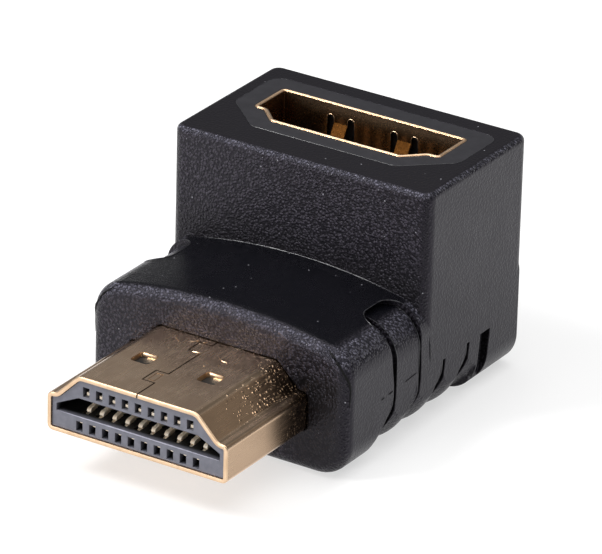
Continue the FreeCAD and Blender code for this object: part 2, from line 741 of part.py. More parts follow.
def make_inner_mould(doc, d, p):
    body = new_body(doc, "inner_mould")
    plan = new_sketch(body, "XY_Plane", d.base_wall)
    rectangle(plan, -p.inner_half, p.inner_half, p.inner_front, p.inner_back, d.nose_radius)
    pad(body, plan, p.inner_top - d.base_wall)
    nose = new_sketch(body, "XY_Plane", d.plug_axis)
    outline(nose, nose_corners(d, p, as_size(0)))
    pad(body, nose, d.body_height - d.plug_axis)

    # What it was moulded round: the plug's shell, its tails, the board, the socket and its feet
    gap = d.fit_gap
    plug = new_sketch(body, "XZ_Plane", p.inner_front)
    outline(plug, plug_corners(d, p, -gap))
    pocket(body, plug, p.shell_end + gap - p.inner_front)
    tails = new_sketch(body, "XZ_Plane", p.insulator_end)
    across = p.long_half + d.tail_clear
    up = d.contact_sheet / 2 + d.tail_clear
    rectangle(tails, -across, across, p.low_run - up, p.high_run + up)
    pocket(body, tails, p.board_front + d.tail_lap + d.tail_clear - p.insulator_end)
    board = new_sketch(body, "XY_Plane", p.board_high + gap)
    rectangle(board, -p.board_half - gap, p.board_half + gap, p.board_front - gap, p.board_back + gap)
    pocket(body, board, d.board_sheet + gap * 2)
    feet = new_sketch(body, "XY_Plane", p.socket_low + gap)
    reach = p.shell_depth / 2 + d.foot_reach + gap
    rectangle(feet, -p.board_half, p.board_half, p.socket - reach, p.socket + reach)
    pocket(body, feet, d.socket_lift + gap)
    socket = new_sketch(body, "XY_Plane", d.body_height)
    outline(socket, socket_corners(d, p, -gap))
    pocket(body, socket, d.body_height - p.socket_low)
    return body


# Plug

def ribbon(points, gap):
    """Corners of a thin band of width gap along a path whose runs are all parallel to an axis."""
    values = [FreeCAD.Vector(as_size(x).value, as_size(y).value, 0) for x, y in points]
    ways = [(values[n + 1] - values[n]).normalize() for n in range(len(values) - 1)]
    lefts = [FreeCAD.Vector(-way.y, way.x, 0) for way in ways]
    left_side = []
    right_side = []
    for number, (x, y) in enumerate(points):
        before = lefts[max(number - 1, 0)]
        after = lefts[min(number, len(lefts) - 1)]
        shift = before if (before - after).Length < SAME else before + after
        over_x = gap * (round(shift.x) / 2)
        over_y = gap * (round(shift.y) / 2)
        left_side.append((as_size(x) + over_x, as_size(y) + over_y))
        right_side.append((as_size(x) - over_x, as_size(y) - over_y))
    return right_side + left_side[::-1]


def make_plug_shell(doc, d, p):
    body = new_body(doc, "plug_shell")
    section = new_sketch(body, "XZ_Plane", p.rim)
    outline(section, plug_corners(d, p, 0))
    outline(section, plug_corners(d, p, d.sheet))
    tube = pad(body, section, p.shell_end - p.rim, backward=True)

    # Only the rim's outer edges are bevelled: they lie at least half a sheet outside the inner outline
    half_sheet = d.sheet.value / 2
    inner = Part.Face(Part.Wire(section_edges(d, p, half_sheet)))

    def on_outer_rim(place):
        return abs(place.y - p.rim.value) < SAME and not inner.isInside(place, SAME, True)

    finish_edges(body, tube, "Chamfer", edges_where(tube, on_outer_rim), d.rim_chamfer)

    windows = new_sketch(body, "XY_Plane", p.plug_high + CLEAR)
    start = p.rim + d.window_start
    near, far = d.window_inset, d.window_inset + d.window_width
    rectangle(windows, near, far, start, start + d.window_length, d.window_radius)
    rectangle(windows, -far, -near, start, start + d.window_length, d.window_radius)
    pocket(body, windows, d.plug_depth + CLEAR * 2)

    seam = new_sketch(body, "XY_Plane", p.plug_high + CLEAR)
    path = [(0, p.rim - CLEAR)]
    for tab_start, tab_length in ((d.front_tab_start, d.front_tab_length),
                                  (d.rear_tab_start, d.rear_tab_length)):
        begin = p.rim + tab_start
        end = begin + tab_length
        path += [(0, begin), (-d.seam_tab_width, begin), (-d.seam_tab_width, end), (0, end)]
    path.append((0, p.shell_end + CLEAR))
    outline(seam, ribbon(path, d.seam_gap))
    pocket(body, seam, d.sheet * 1.5 + CLEAR)
    return body


def section_edges(d, p, inset):
    """The plug's outline at the rim as plain straight edges, to tell its inner side from its outer."""
    corners = [FreeCAD.Vector(x.value, p.rim.value, z.value) for x, z, _ in plug_corners(d, p, inset)]
    loop = corners + corners[:1]
    return [Part.LineSegment(loop[n], loop[n + 1]).toShape() for n in range(len(corners))]


def contact_channels(body, d, p, count, wide):
    """Cut one row of channels for the plug's contacts: the wide row below the mouth, the other above.

    Each opens at the front as a slot, runs behind a web, and opens into the mouth.
    """
    first = d.pitch * (-(count - 1) / 2)
    front = p.rim - CLEAR
    web = p.rim + d.plug_recess + d.web_length
    end = p.rim + d.cavity_depth
    floor = p.plug_low + d.cavity_floor
    if wide:
        outer = p.plug_low + d.slot_low
        inner = outer + d.slot_height
        mouth = floor + d.fit_gap
        run_low, run_high = outer, outer + d.contact_sheet + d.fit_gap * 2
    else:
        outer = p.plug_high - d.slot_high
        inner = outer - d.slot_height
        mouth = floor + d.cavity_height - d.fit_gap
        run_low, run_high = outer - d.contact_sheet - d.fit_gap * 2, outer
    channel = new_sketch(body, "YZ_Plane", first)
    outline(channel, [(front, outer), (end, outer), (end, mouth), (web, mouth), (web, inner),
                      (front, inner)])
    cut = pocket(body, channel, d.slot_width, symmetric=True)
    repeat_across(body, cut, count, d.pitch)
    passage = new_sketch(body, "YZ_Plane", first)
    rectangle(passage, end - d.fit_gap, p.insulator_end + CLEAR, run_low, run_high)
    cut = pocket(body, passage, d.contact_width + d.fit_gap * 2, symmetric=True)
    repeat_across(body, cut, count, d.pitch)


def make_plug_insulator(doc, d, p):
    body = new_body(doc, "plug_insulator")
    front = p.rim + d.plug_recess
    section = new_sketch(body, "XZ_Plane", front)
    outline(section, plug_corners(d, p, d.sheet + d.fit_gap))
    pad(body, section, p.insulator_end - front, backward=True)
    mouth = new_sketch(body, "XZ_Plane", front)
    floor = p.plug_low + d.cavity_floor
    half = p.plug_half - d.cavity_wall
    slope_end = p.short_half + d.cavity_margin
    outline(mouth, mirrored_corners([(half, floor), (half, floor + d.cavity_side),
                                     (slope_end, floor + d.cavity_height)]))
    pocket(body, mouth, d.cavity_depth - d.plug_recess)
    contact_channels(body, d, p, LONG_ROW, True)
    contact_channels(body, d, p, SHORT_ROW, False)
    return body


def make_plug_contact(doc, d, p, name, place, wide):
    """A strip that is soldered to the board, drops to its channel and rises to a sprung crest."""
    body = new_body(doc, name)
    body.setExpression("Placement.Base.x", place.formula)
    thick = d.contact_sheet / 2
    mitre = thick * SLOPE_SHIFT
    floor = p.plug_low + d.cavity_floor
    if wide:
        way = 1
        tail, run, bend = p.board_low - thick, p.low_run, p.low_bend
        crest = floor + d.crest_rise - thick
        tip = p.plug_low + d.slot_low + d.slot_height - d.fit_gap - thick
    else:
        way = -1
        tail, run, bend = p.board_high + thick, p.high_run, p.high_bend
        crest = floor + d.cavity_height - d.crest_rise + thick
        tip = p.plug_high - d.slot_high - d.slot_height + d.fit_gap + thick
    foot = p.insulator_end + d.tail_room
    # Middle of the strip from tail to tip, with the shift along it that a 45 degree bend needs
    middle = [
        (p.board_front + d.tail_lap, tail, as_size(0)),
        (foot + bend, tail, mitre),
        (foot, run, mitre),
        (p.rim + d.beam_root, run, as_size(0)),
        (p.rim + d.crest_place, crest, as_size(0)),
        (p.rim + d.plug_recess + d.web_length, tip, as_size(0)),
        (p.rim + d.tip_place, tip, as_size(0)),
    ]
    inner = [(y - shift, z + thick * way) for y, z, shift in middle]
    outer = [(y + shift, z - thick * way) for y, z, shift in middle]
    sketch = new_sketch(body, "YZ_Plane")
    outline(sketch, inner + outer[::-1])
    pad(body, sketch, d.contact_width, symmetric=True)
    return body


# Circuit board

def make_circuit_board(doc, d, p):
    body = new_body(doc, "circuit_board")
    plan = new_sketch(body, "XY_Plane", p.board_low)
    rectangle(plan, -p.board_half, p.board_half, p.board_front, p.board_back)
    pad(body, plan, d.board_sheet)
    holes = new_sketch(body, "XY_Plane", p.board_high)
    for low_x, high_x, low_y, high_y in leg_plans(d, p, d.leg_gap):
        rectangle(holes, low_x, high_x, low_y, high_y)
    pocket(body, holes, d.board_sheet)
    return body


def leg_plans(d, p, grow):
    """The socket shell's four legs, seen from above, grown by a clearance."""
    inner = p.socket_half - grow
    outer = p.socket_half + d.sheet + grow
    half = d.leg_width / 2 + grow
    plans = []
    for middle in (p.socket - d.leg_place, p.socket + d.leg_place):
        plans.append((inner, outer, middle - half, middle + half))
        plans.append((-outer, -inner, middle - half, middle + half))
    return plans


# Socket

def spring_fingers(body, d, p, rear):
    """Cut two U-shaped windows in a wide wall and put back their bent spring fingers."""
    way = 1 if rear else -1
    outside = p.socket + p.shell_depth / 2 * way
    inside = outside - d.sheet * way
    top = d.body_height
    slot_top, bend = top - d.finger_top, top - d.finger_bend
    bottom = top - d.finger_end - d.finger_slot / 2
    middle = d.finger_place
    half = d.finger_width / 2
    reach = half + d.finger_slot
    windows = new_sketch(body, "XZ_Plane", outside + CLEAR * way)
    outline(windows, [
        (middle - reach, bottom),
        (middle + reach, bottom),
        (middle + reach, slot_top),
        (middle + half, slot_top),
        (middle + half, bend),
        (middle - half, bend),
        (middle - half, slot_top),
        (middle - reach, slot_top),
    ])
    # A pocket on the XZ plane cuts towards +Y, so the rear wall is cut the other way
    holes = pocket(body, windows, d.sheet * 1.5 + CLEAR, backward=rear)
    profile = new_sketch(body, "YZ_Plane", middle)
    crest, tip = top - d.finger_crest, top - d.finger_end
    inward, back = d.finger_inward * way, d.finger_return * way
    outline(profile, [(outside, bend), (inside, bend), (inside - inward, crest), (inside - back, tip),
                      (outside - back, tip), (outside - inward, crest)])
    finger = pad(body, profile, d.finger_width, symmetric=True)
    mirror(body, [holes, finger])


def make_socket_shell(doc, d, p):
    body = new_body(doc, "socket_shell")
    plan = new_sketch(body, "XY_Plane", p.socket_low)
    outline(plan, socket_corners(d, p, 0))
    outline(plan, socket_corners(d, p, d.sheet))
    pad(body, plan, d.body_height - p.socket_low)
    spring_fingers(body, d, p, True)
    spring_fingers(body, d, p, False)
    legs = new_sketch(body, "XY_Plane", p.socket_low)
    for low_x, high_x, low_y, high_y in leg_plans(d, p, as_size(0)):
        rectangle(legs, low_x, high_x, low_y, high_y)
    pad(body, legs, p.socket_low - p.board_low, backward=True)
    return body


def row_faces(d, p, rear):
    """Where a row of socket contacts lies: its inner and its outer face along Y."""
    way = 1 if rear else -1
    outer = p.socket + d.tongue_shift + (d.tongue_sheet / 2 + d.contact_proud) * way
    return outer - d.contact_sheet * way, outer


def make_socket_insulator(doc, d, p):
    body = new_body(doc, "socket_insulator")
    plan = new_sketch(body, "XY_Plane", p.base_low)
    outline(plan, socket_corners(d, p, d.sheet + d.fit_gap))
    pad(body, plan, p.base_top - p.base_low)
    tongue = new_sketch(body, "XY_Plane", p.base_top)
    middle = p.socket + d.tongue_shift
    rear, front = middle + d.tongue_sheet / 2, middle - d.tongue_sheet / 2
    slope_end = p.short_half + d.cavity_margin
    half = p.socket_half - d.tongue_gap
    outline(tongue, mirrored_corners([(slope_end, front), (half, rear - d.tongue_side),
                                      (half, rear)]))
    blade = pad(body, tongue, p.tongue_top - p.base_top)
    tip = edges_where(blade, lambda place: abs(place.z - p.tongue_top.value) < SAME)
    finish_edges(body, blade, "Chamfer", tip, d.tongue_chamfer)
    for count, is_rear in ((LONG_ROW, True), (SHORT_ROW, False)):
        gap = d.fit_gap if is_rear else -d.fit_gap
        inner, outer = row_faces(d, p, is_rear)
        groove = new_sketch(body, "YZ_Plane", d.pitch * (-(count - 1) / 2))
        outline(groove, [(inner - gap, p.base_low - CLEAR), (outer + gap, p.base_low - CLEAR),
                         (outer + gap, p.tongue_top - d.contact_start + d.fit_gap),
                         (inner - gap, p.tongue_top - d.contact_start + d.fit_gap)])
        cut = pocket(body, groove, d.contact_width + d.fit_gap * 2, symmetric=True)
        repeat_across(body, cut, count, d.pitch)
    return body


def make_socket_contact(doc, d, p, name, place, rear):
    """A strip that lies in the tongue's face, goes down through the base and turns out on the board."""
    body = new_body(doc, name)
    body.setExpression("Placement.Base.x", place.formula)
    inner, outer = row_faces(d, p, rear)
    way = 1 if rear else -1
    end = p.socket + (p.shell_depth / 2 + d.foot_reach) * way
    top = p.tongue_top - d.contact_start
    low, high = p.board_high, p.board_high + d.contact_sheet
    sketch = new_sketch(body, "YZ_Plane")
    outline(sketch, [(inner, top), (outer, top), (outer, high), (end, high), (end, low), (inner, low)])
    pad(body, sketch, d.contact_width, symmetric=True)
    return body


def make_contact_rows(doc, d, p):
    """Both connectors have a row of ten on their wide side and of nine on their narrow side."""
    bodies = []
    for row, count, wide in (("wide", LONG_ROW, True), ("narrow", SHORT_ROW, False)):
        for number in range(count):
            place = d.pitch * (number - (count - 1) / 2)
            ending = f"{row}_{number + 1:02d}"
            bodies.append(make_plug_contact(doc, d, p, f"plug_contact_{ending}", place, wide))
            bodies.append(make_socket_contact(doc, d, p, f"socket_contact_{ending}", place, wide))
    return bodies


def check_document(doc, bodies):
    """Stop if any object failed, or a body isn't one valid solid."""
    for item in doc.Objects:
        if "Invalid" in item.State or "Error" in item.State:
            raise RuntimeError(f"{item.Name} ({item.Label}) failed: {item.State}")
    for body in bodies:
        shape = body.Shape
        if shape.isNull() or not shape.isValid() or len(shape.Solids) != 1:
            raise RuntimeError(f"{body.Label} isn't one valid solid")


def main():
    doc = FreeCAD.newDocument("right_angle_adapter")
    d = make_sheet(doc)
    p = place_levels(d)
    makers = (make_outer_mould, make_inner_mould, make_plug_shell, make_plug_insulator,
              make_circuit_board, make_socket_shell, make_socket_insulator)
    bodies = [maker(doc, d, p) for maker in makers]
    bodies += make_contact_rows(doc, d, p)
    doc.recompute()
    check_document(doc, bodies)
    os.makedirs("parts", exist_ok=True)
    for body in bodies:
        body.Shape.exportStep(f"parts/{body.Label}.step")
        print(f"{body.Label}: {body.Shape.Volume:.2f} mm3")


main()
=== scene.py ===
import math
import random

import bmesh
import bpy
from mathutils import Matrix, Vector


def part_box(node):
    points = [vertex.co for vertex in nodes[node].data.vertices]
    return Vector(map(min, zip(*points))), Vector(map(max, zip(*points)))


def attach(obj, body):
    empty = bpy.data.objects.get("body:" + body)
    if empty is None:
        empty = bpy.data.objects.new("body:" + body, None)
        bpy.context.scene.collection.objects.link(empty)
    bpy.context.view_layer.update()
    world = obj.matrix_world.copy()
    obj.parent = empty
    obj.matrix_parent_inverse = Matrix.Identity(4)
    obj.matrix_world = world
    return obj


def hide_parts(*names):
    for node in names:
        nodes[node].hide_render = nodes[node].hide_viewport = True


# The looks of a right angle adapter for digital video leads: grained black moulding, a smooth inner
# moulding, gold plated shells and grey insulators, seen from the front right on a pale floor.

MM = 0.001

# A corner of 135 degrees moves this far along its level side when both its sides move by 1
HALF_SLOPE = math.tan(math.radians(22.5))

# The camera, fitted to the photograph: it turns round the part's middle plane and looks a little down
CAMERA_AZIMUTH = 31.944
CAMERA_ELEVATION = 25.073
CAMERA_ROLL = 1.581
CAMERA_DISTANCE = 383.036 * MM
CAMERA_LENS = 355.46
CAMERA_SENSOR = 36.0
CAMERA_TARGET = Vector((0.0, -9.7, 8.1)) * MM
CAMERA_SIDE = 7.212 * MM
CAMERA_RISE = 4.802 * MM

# The studio: each light's name, place, width, height and watts
LIGHTS = (
    ("overhead", (0.08, 0.02, 0.50), 0.50, 0.50, 2.3),
    ("front_left", (-0.24, -0.21, 0.385), 0.16, 0.16, 2.1),
    ("front_low", (-0.12, -0.50, 0.10), 0.20, 0.10, 1.1),
)
LIGHT_AIM = (0.0, 0.0, 0.008)
WORLD_STRENGTH = 0.19
FLOOR_GLOW = 0.6
FLOOR_REACH = 3.0

# The plug's sheet shell
SHEET = 0.30 * MM
RIM_STEPS = 5
RIM_ROUNDING = 0.11 * MM
# The rim's inner edge: how far outside the inner face, and how far behind the rim
RIM_BREAK = ((0.05 * MM, 0.0), (0.01 * MM, 0.02 * MM), (0.0, 0.06 * MM))
PLUG_LEDGE = 2.75 * MM
PLUG_SHELF = 0.68 * MM
LOWER_FOLD = 0.42 * MM
SIDE_FOLD = 0.41 * MM
CURL = 0.60 * MM
UPPER_FOLD = 0.90 * MM
WINDOW_START = 3.95 * MM
WINDOW_LENGTH = 1.45 * MM
WINDOW_INSET = 1.85 * MM
WINDOW_WIDTH = 1.42 * MM
WINDOW_RADIUS = 0.25 * MM
# The latch's bent end: how far ahead of a window's rear edge, and how far under the top
LATCH_SECTION = (
    (0.05 * MM, 0.24 * MM), (0.20 * MM, 0.24 * MM), (0.24 * MM, 0.33 * MM), (0.05 * MM, 0.33 * MM),
)
LATCH_LEFT = 0.12 * MM
LATCH_RIGHT = 0.60 * MM
SEAM_GAP = 0.10 * MM
TAB_WIDTH = 0.95 * MM
SEAM_TABS = ((2.05 * MM, 1.6 * MM), (7.4 * MM, 1.3 * MM))
MARK_LEFT = 0.24 * MM
MARK_RIGHT = 0.16 * MM
MARK_FRONT = 0.2 * MM
MARK_REAR = 0.3 * MM
MARK_LINE = 0.07 * MM
MARK_DEPTH = 0.03 * MM
FILM_START = -8.9 * MM

# The plug's mouth and the front ends of its lower contacts
MOUTH_HALF = 6.28 * MM
MOUTH_LEVEL = 4.455 * MM
CONTACT_TIP = -14.50 * MM
CONTACT_REAR = -13.70 * MM
CONTACT_LOW = 4.42 * MM
CONTACT_ROUND = 0.24 * MM
CONTACT_CREST = 4.73 * MM
CONTACT_HALF = 0.155 * MM

# The socket
SOCKET = 9.9 * MM
SOCKET_HALF = 7.0 * MM
SOCKET_DEPTH = 4.55 * MM
SOCKET_LEDGE = 3.2 * MM
SOCKET_SHELF = 0.7 * MM
SOCKET_FOLD = 0.4 * MM
SOCKET_CURL = 0.5 * MM
RIM_BEAD = 0.09 * MM
BEAD_SUNK = 0.03 * MM
BEAD_SIDES = 10
WELL_TOP = 16.9 * MM
FINGER_PLACE = 2.5 * MM
FINGER_WIDTH = 1.06 * MM
SLOT_WIDTH = 0.55 * MM
SLOT_TOP = 0.55 * MM
ARCH_DROP = 0.22 * MM
ARCH_LEG = 0.45 * MM
ARCH_STEPS = 8
ARCH_LAP = 0.09 * MM
ARCH_PROUD = 0.004 * MM

# The low block's crown, its ribs and the loop of its grooves
CROWN_TOP = 10.15 * MM
CROWN_RISE = 1.3 * MM
SHOULDER = 2.3 * MM
SIDE_LEVELS = (4.4 * MM, 5.2 * MM, 6.0 * MM)
SHOULDER_STEPS = 12
CROWN_STEPS = 24
CROWN_FLASH_REACH = 7.7 * MM
STEP = 3.1 * MM
RIB_DROP = 0.4 * MM
RIB_SHOULDER = 2.7 * MM
RIB_FRONT = -0.24 * MM
RIB_BACK = 2.51 * MM
LOOP_FRONT = -0.56 * MM
LOOP_BACK = 2.83 * MM
LOOP_FOOT = -3.6 * MM
LOOP_CREST = 1.427 * MM
LOOP_FRONT_LEAN = 1.2 * MM
LOOP_BACK_LEAN = 0.35 * MM
LOOP_HEAD = 1.3 * MM
LOOP_CORNER = 0.1 * MM
LOOP_EDGE_FOOT = -0.9 * MM

# The inner moulding's nose in the top
NOSE_HALF = 8.8 * MM
NOSE_FRONT = 5.9 * MM
NOSE_BACK = 13.9 * MM
NOSE_BEVEL_ACROSS = 3.2 * MM
NOSE_BEVEL_ALONG = 2.9 * MM
NOSE_CORNER = 1.0 * MM

# The low block's corner crease, in millimetres
CREASE = (
    (8.25, -5.93, 9.08), (8.48, -6.03, 8.92), (8.80, -6.10, 8.66), (9.04, -6.13, 8.41),
    (9.30, -6.12, 8.12), (9.52, -6.10, 7.76), (9.74, -6.00, 7.38), (9.86, -5.89, 7.04),
    (9.90, -5.80, 6.52), (9.90, -5.81, 5.95), (9.88, -5.84, 5.30),
)
# Scratches on the plug's top, across and along, in millimetres
SCUFFS = (
    ((-0.59, -8.40), (0.04, -8.28)),
    ((1.14, -8.04), (1.76, -8.49), (2.16, -8.53)),
    ((1.84, -8.97), (2.02, -9.28)),
    ((-3.85, -8.41), (-3.49, -8.82)),
    ((-1.55, -7.31), (-1.10, -6.77)),
    ((-2.75, -6.94), (-2.55, -7.36), (-2.14, -7.63)),
    ((-2.17, -8.80), (-2.09, -8.90)),
    ((1.16, -9.71), (1.24, -9.81)),
    ((4.00, -7.62), (4.12, -7.82)),
    ((-0.75, -6.96), (-0.54, -6.70)),
)
# Scores in the sides: start and end along the part, height and rise
SCORES = (
    (-2.1 * MM, -1.7 * MM, 4.40 * MM, 0.05 * MM),
    (-1.25 * MM, -0.62 * MM, 4.45 * MM, 0.06 * MM),
    (0.8 * MM, 2.3 * MM, 4.55 * MM, 0.12 * MM),
    (3.75 * MM, 3.95 * MM, 6.7 * MM, -1.9 * MM),
)

# Thin rods: the radius of each piece's lines, and how uneven they are
RODS = {
    "plug_scuffs": (0.03 * MM, 1.2),
    "slot_edges": (0.03 * MM, 0.4),
    "crown_flash": (0.027 * MM, 1.0),
    "nose_outline": (0.022 * MM, 1.0),
    "mouth_edge": (0.035 * MM, 0.5),
    "rib_edges": (0.03 * MM, 0.5),
    "loop_edge": (0.03 * MM, 0.9),
    "corner_creases": (0.08 * MM, 0.6),
    "side_scores": (0.034 * MM, 0.8),
}
ROD_SIDES = 6
PROUD = 0.01 * MM

# The vinyl: widths in its grain, the grain's depth, and the radius that its edges are shaded with
GRAIN = 0.185 * MM
GRAIN_FINE = 0.08 * MM
GRAIN_BROAD = 2.6 * MM
STREAK_WIDTH = 0.22 * MM
GRAIN_DEPTH = 0.054 * MM
VINYL_EDGE = 0.10 * MM
# Pale specks in it
SPECK_SPACING = 0.6 * MM
SPECK_RADIUS = 0.05 * MM
SPECK_RARITY = 0.76
# Its places of painted shade fade in across and along the part, and out with the height; beside the plug
# the grain is also flatter
BESIDE_PLUG = (5.0 * MM, 6.4 * MM)
BESIDE_PLUG_TOP = (6.6 * MM, 7.9 * MM)
TALL_FRONT = (2.5 * MM, 3.0 * MM)
TALL_FOOT = 2.6 * MM

# The gold's fine lines and blotches, and the depth that their relief is given in
LINE_WIDTH = 0.16 * MM
BLOTCH_WIDTH = 2.1 * MM
RELIEF = 0.06 * MM
WELL_FADE = 1.2 * MM
# Crumbs of vinyl on the plug's right side: where they set in, and their widths
CRUMBS_ASIDE = (3.4 * MM, 5.6 * MM)
CRUMBS_UPPER = (5.6 * MM, 6.0 * MM)
CRUMB_LARGE = 0.26 * MM
CRUMB_SMALL = 0.13 * MM
CRUMB_STRAY = 0.5 * MM
# They and the film thicken along the plug, from ahead of the film's start to behind it
FILM_REACH = 2.6 * MM
CRUMBS_AHEAD = 4.8 * MM
CRUMBS_BEHIND = 1.0 * MM
SOILED_AHEAD = 2.4 * MM
SOILED_BEHIND = 1.6 * MM

# Linear colours of the vinyl, with a painted highlight for the fillets and painted shade for the upright
# corners, the crown and the front faces beside the plug and at the tall block's foot
VINYL_PIT = (0.0038, 0.0034, 0.0050)
VINYL_PEAK = (0.036, 0.032, 0.042)
FILLET_HIGHLIGHT_PIT = (0.016, 0.016, 0.021)
FILLET_HIGHLIGHT_PEAK = (0.150, 0.148, 0.190)
CORNER_PAINTED_SHADE = (0.0016, 0.0013, 0.0028)
FRONT_PAINTED_SHADE = (0.0018, 0.0018, 0.0017)
LEVEL_BLACK = (0.0055, 0.0050, 0.0066)
CROWN_PAINTED_SHADE = (0.0018, 0.0020, 0.0032)
STREAK_DARK = (0.0024, 0.0018, 0.0042)
STREAK_PALE = (0.0054, 0.0044, 0.0084)
SPECK_GREY = (0.30, 0.30, 0.33)

# Linear colours of the gold: painted shade darkens its upright, sloping and bent places, which reflect less
# of the studio, and the socket's well
GOLD_DEEP = (0.89, 0.635, 0.44)
GOLD_PALE = (0.95, 0.71, 0.51)
GOLD_UPRIGHT_SHADE = (0.375, 0.257, 0.163)
GOLD_INCLINE_SHADE = (0.69, 0.465, 0.295)
GOLD_BEND_SHADE = (0.26, 0.18, 0.11)
GOLD_SOILED = (0.088, 0.056, 0.034)
WELL_WALL_SHADE = (0.36, 0.20, 0.09)
WELL_FINGER_SHADE = (0.27, 0.105, 0.024)

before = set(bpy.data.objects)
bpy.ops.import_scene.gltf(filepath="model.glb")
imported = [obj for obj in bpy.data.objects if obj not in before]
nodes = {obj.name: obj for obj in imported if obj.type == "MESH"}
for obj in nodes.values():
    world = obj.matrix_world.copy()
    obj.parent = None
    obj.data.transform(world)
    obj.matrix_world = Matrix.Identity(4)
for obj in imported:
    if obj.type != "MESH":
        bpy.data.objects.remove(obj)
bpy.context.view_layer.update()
scene = bpy.context.scene


# Node helpers

class Maker:
    """Adds nodes to one material and links them."""

    def __init__(self, name):
        self.material = bpy.data.materials.new(name)
        self.material.use_nodes = True
        self.tree = self.material.node_tree
        self.tree.nodes.clear()
        self.place = 0

    def node(self, kind, inputs=None, **settings):
        node = self.tree.nodes.new(kind)
        node.location = (self.place * 180, (self.place % 3) * -260)
        self.place += 1
        for key, value in settings.items():
            setattr(node, key, value)
        for key, value in (inputs or {}).items():
            if isinstance(value, bpy.types.NodeSocket):
                self.tree.links.new(value, node.inputs[key])
            else:
                node.inputs[key].default_value = value
        return node

    def link(self, source, target):
        self.tree.links.new(source, target)

    def places(self, scale=(1, 1, 1)):
        """Points of the object, in metres. A scale under 1 draws the pattern out along that axis."""
        points = self.node("ShaderNodeTexCoord").outputs["Object"]
        return self.node("ShaderNodeMapping", {"Vector": points, "Scale": scale}).outputs[0]

    def facing(self):
        """The parts along X, Y and Z of the way that the surface faces."""
        return self.axes(self.node("ShaderNodeNewGeometry").outputs["Normal"])

    def noise(self, points, size, detail=3.0):
        """Noise from 0 to 1 whose lumps are about size metres wide."""
        node = self.node("ShaderNodeTexNoise", {"Vector": points, "Scale": 1 / size, "Detail": detail,
                                                "Roughness": 0.55})
        return node.outputs["Fac"]

    def pebbles(self, points, size):
        """Domed cells about size wide, from 0 to 1 in height, and a number of its own for each."""
        node = self.node("ShaderNodeTexVoronoi", {"Vector": points, "Scale": 1 / size})
        slope = self.span(node.outputs["Distance"], 0.0, 1.0, 0.0, 0.62)
        dome = self.maths("SUBTRACT", 1.0, self.times(slope, slope))
        return dome, self.axes(node.outputs["Color"])[1]

    def ramp(self, factor, start, low, end, high):
        """The colour low where the factor is up to start, turning into high at end."""
        node = self.node("ShaderNodeValToRGB", {"Fac": factor})
        for element, place, colour in zip(node.color_ramp.elements, (start, end), (low, high)):
            element.position = place
            element.color = (*colour, 1.0)
        return node.outputs["Color"]

    def span(self, value, low, high, from_low=0.0, from_high=1.0):
        """Numbers from low to high as the value goes from from_low to from_high."""
        node = self.node("ShaderNodeMapRange", {"Value": value, "From Min": from_low,
                                                "From Max": from_high, "To Min": low, "To Max": high})
        return node.outputs["Result"]

    def rise(self, value, start, end):
        """0 up to start, and 1 from end on."""
        return self.span(value, 0.0, 1.0, start, end)

    def fall(self, value, start, end):
        """1 up to start, and 0 from end on."""
        return self.span(value, 1.0, 0.0, start, end)

    def band(self, value, start, full, fading, end):
        """1 from full to fading, and 0 outside start and end."""
        return self.times(self.rise(value, start, full), self.fall(value, fading, end))

    def maths(self, operation, *values):
        node = self.node("ShaderNodeMath", operation=operation)
        for socket, value in zip(node.inputs, values):
            if isinstance(value, bpy.types.NodeSocket):
                self.link(value, socket)
            else:
                socket.default_value = value
        return node.outputs[0]

    def times(self, product, *values):
        for value in values:
            product = self.maths("MULTIPLY", product, value)
        return product

    def plus(self, total, *values):
        for value in values:
            total = self.maths("ADD", total, value)
        return total

    def axes(self, vector):
        """The vector's parts along X, Y and Z."""
        return self.node("ShaderNodeSeparateXYZ", {"Vector": vector}).outputs

    def scattered(self, points, size, density):
        """Distance to scattered points, and 1 for those that are kept at this density, from 0 to 1."""
        node = self.node("ShaderNodeTexVoronoi", {"Vector": points, "Scale": 1 / size})
        chance = self.axes(node.outputs["Color"])[0]
        kept = self.maths("LESS_THAN", chance, density)
        return node.outputs["Distance"], kept

    def specks(self, points, size, radius, rarity):
        """1 on sparse round specks of this radius, else 0."""
        distance, kept = self.scattered(points, size, 1 - rarity)
        return self.times(kept, self.fall(distance, 0.8 * radius / size, radius / size))

    def crumbs(self, points, size, density):
        """Low round crumbs, from 0 to 1 in height."""
        distance, kept = self.scattered(points, size, density)
        return self.times(kept, self.fall(distance, 0.0, 0.5))

    def mix(self, factor, first, second):
        node = self.node("ShaderNodeMix", data_type="RGBA")
        for socket, value in ((node.inputs[0], factor), (node.inputs[6], first), (node.inputs[7], second)):
            if isinstance(value, bpy.types.NodeSocket):
                self.link(value, socket)
            elif isinstance(value, tuple):
                socket.default_value = (*value, 1.0)
            else:
                socket.default_value = value
        return node.outputs[2]

    def bump(self, height, depth, normal=None):
        inputs = {"Height": height, "Distance": depth, "Strength": 1.0}
        if normal is not None:
            inputs["Normal"] = normal
        return self.node("ShaderNodeBump", inputs).outputs["Normal"]

    def rounded(self, radius):
        return self.node("ShaderNodeBevel", {"Radius": radius}, samples=6).outputs["Normal"]

    def finish(self, **inputs):
        """The surface itself. The words are its sockets, with underscores for spaces."""
        shader = self.node("ShaderNodeBsdfPrincipled")
        for key, value in inputs.items():
            socket = shader.inputs[key.replace("_", " ")]
            if isinstance(value, bpy.types.NodeSocket):
                self.link(value, socket)
            elif isinstance(value, tuple) and socket.type == "RGBA":
                socket.default_value = (*value, 1.0)
            else:
                socket.default_value = value
        output = self.node("ShaderNodeOutputMaterial")
        self.link(shader.outputs[0], output.inputs["Surface"])
        return self.material


# Materials

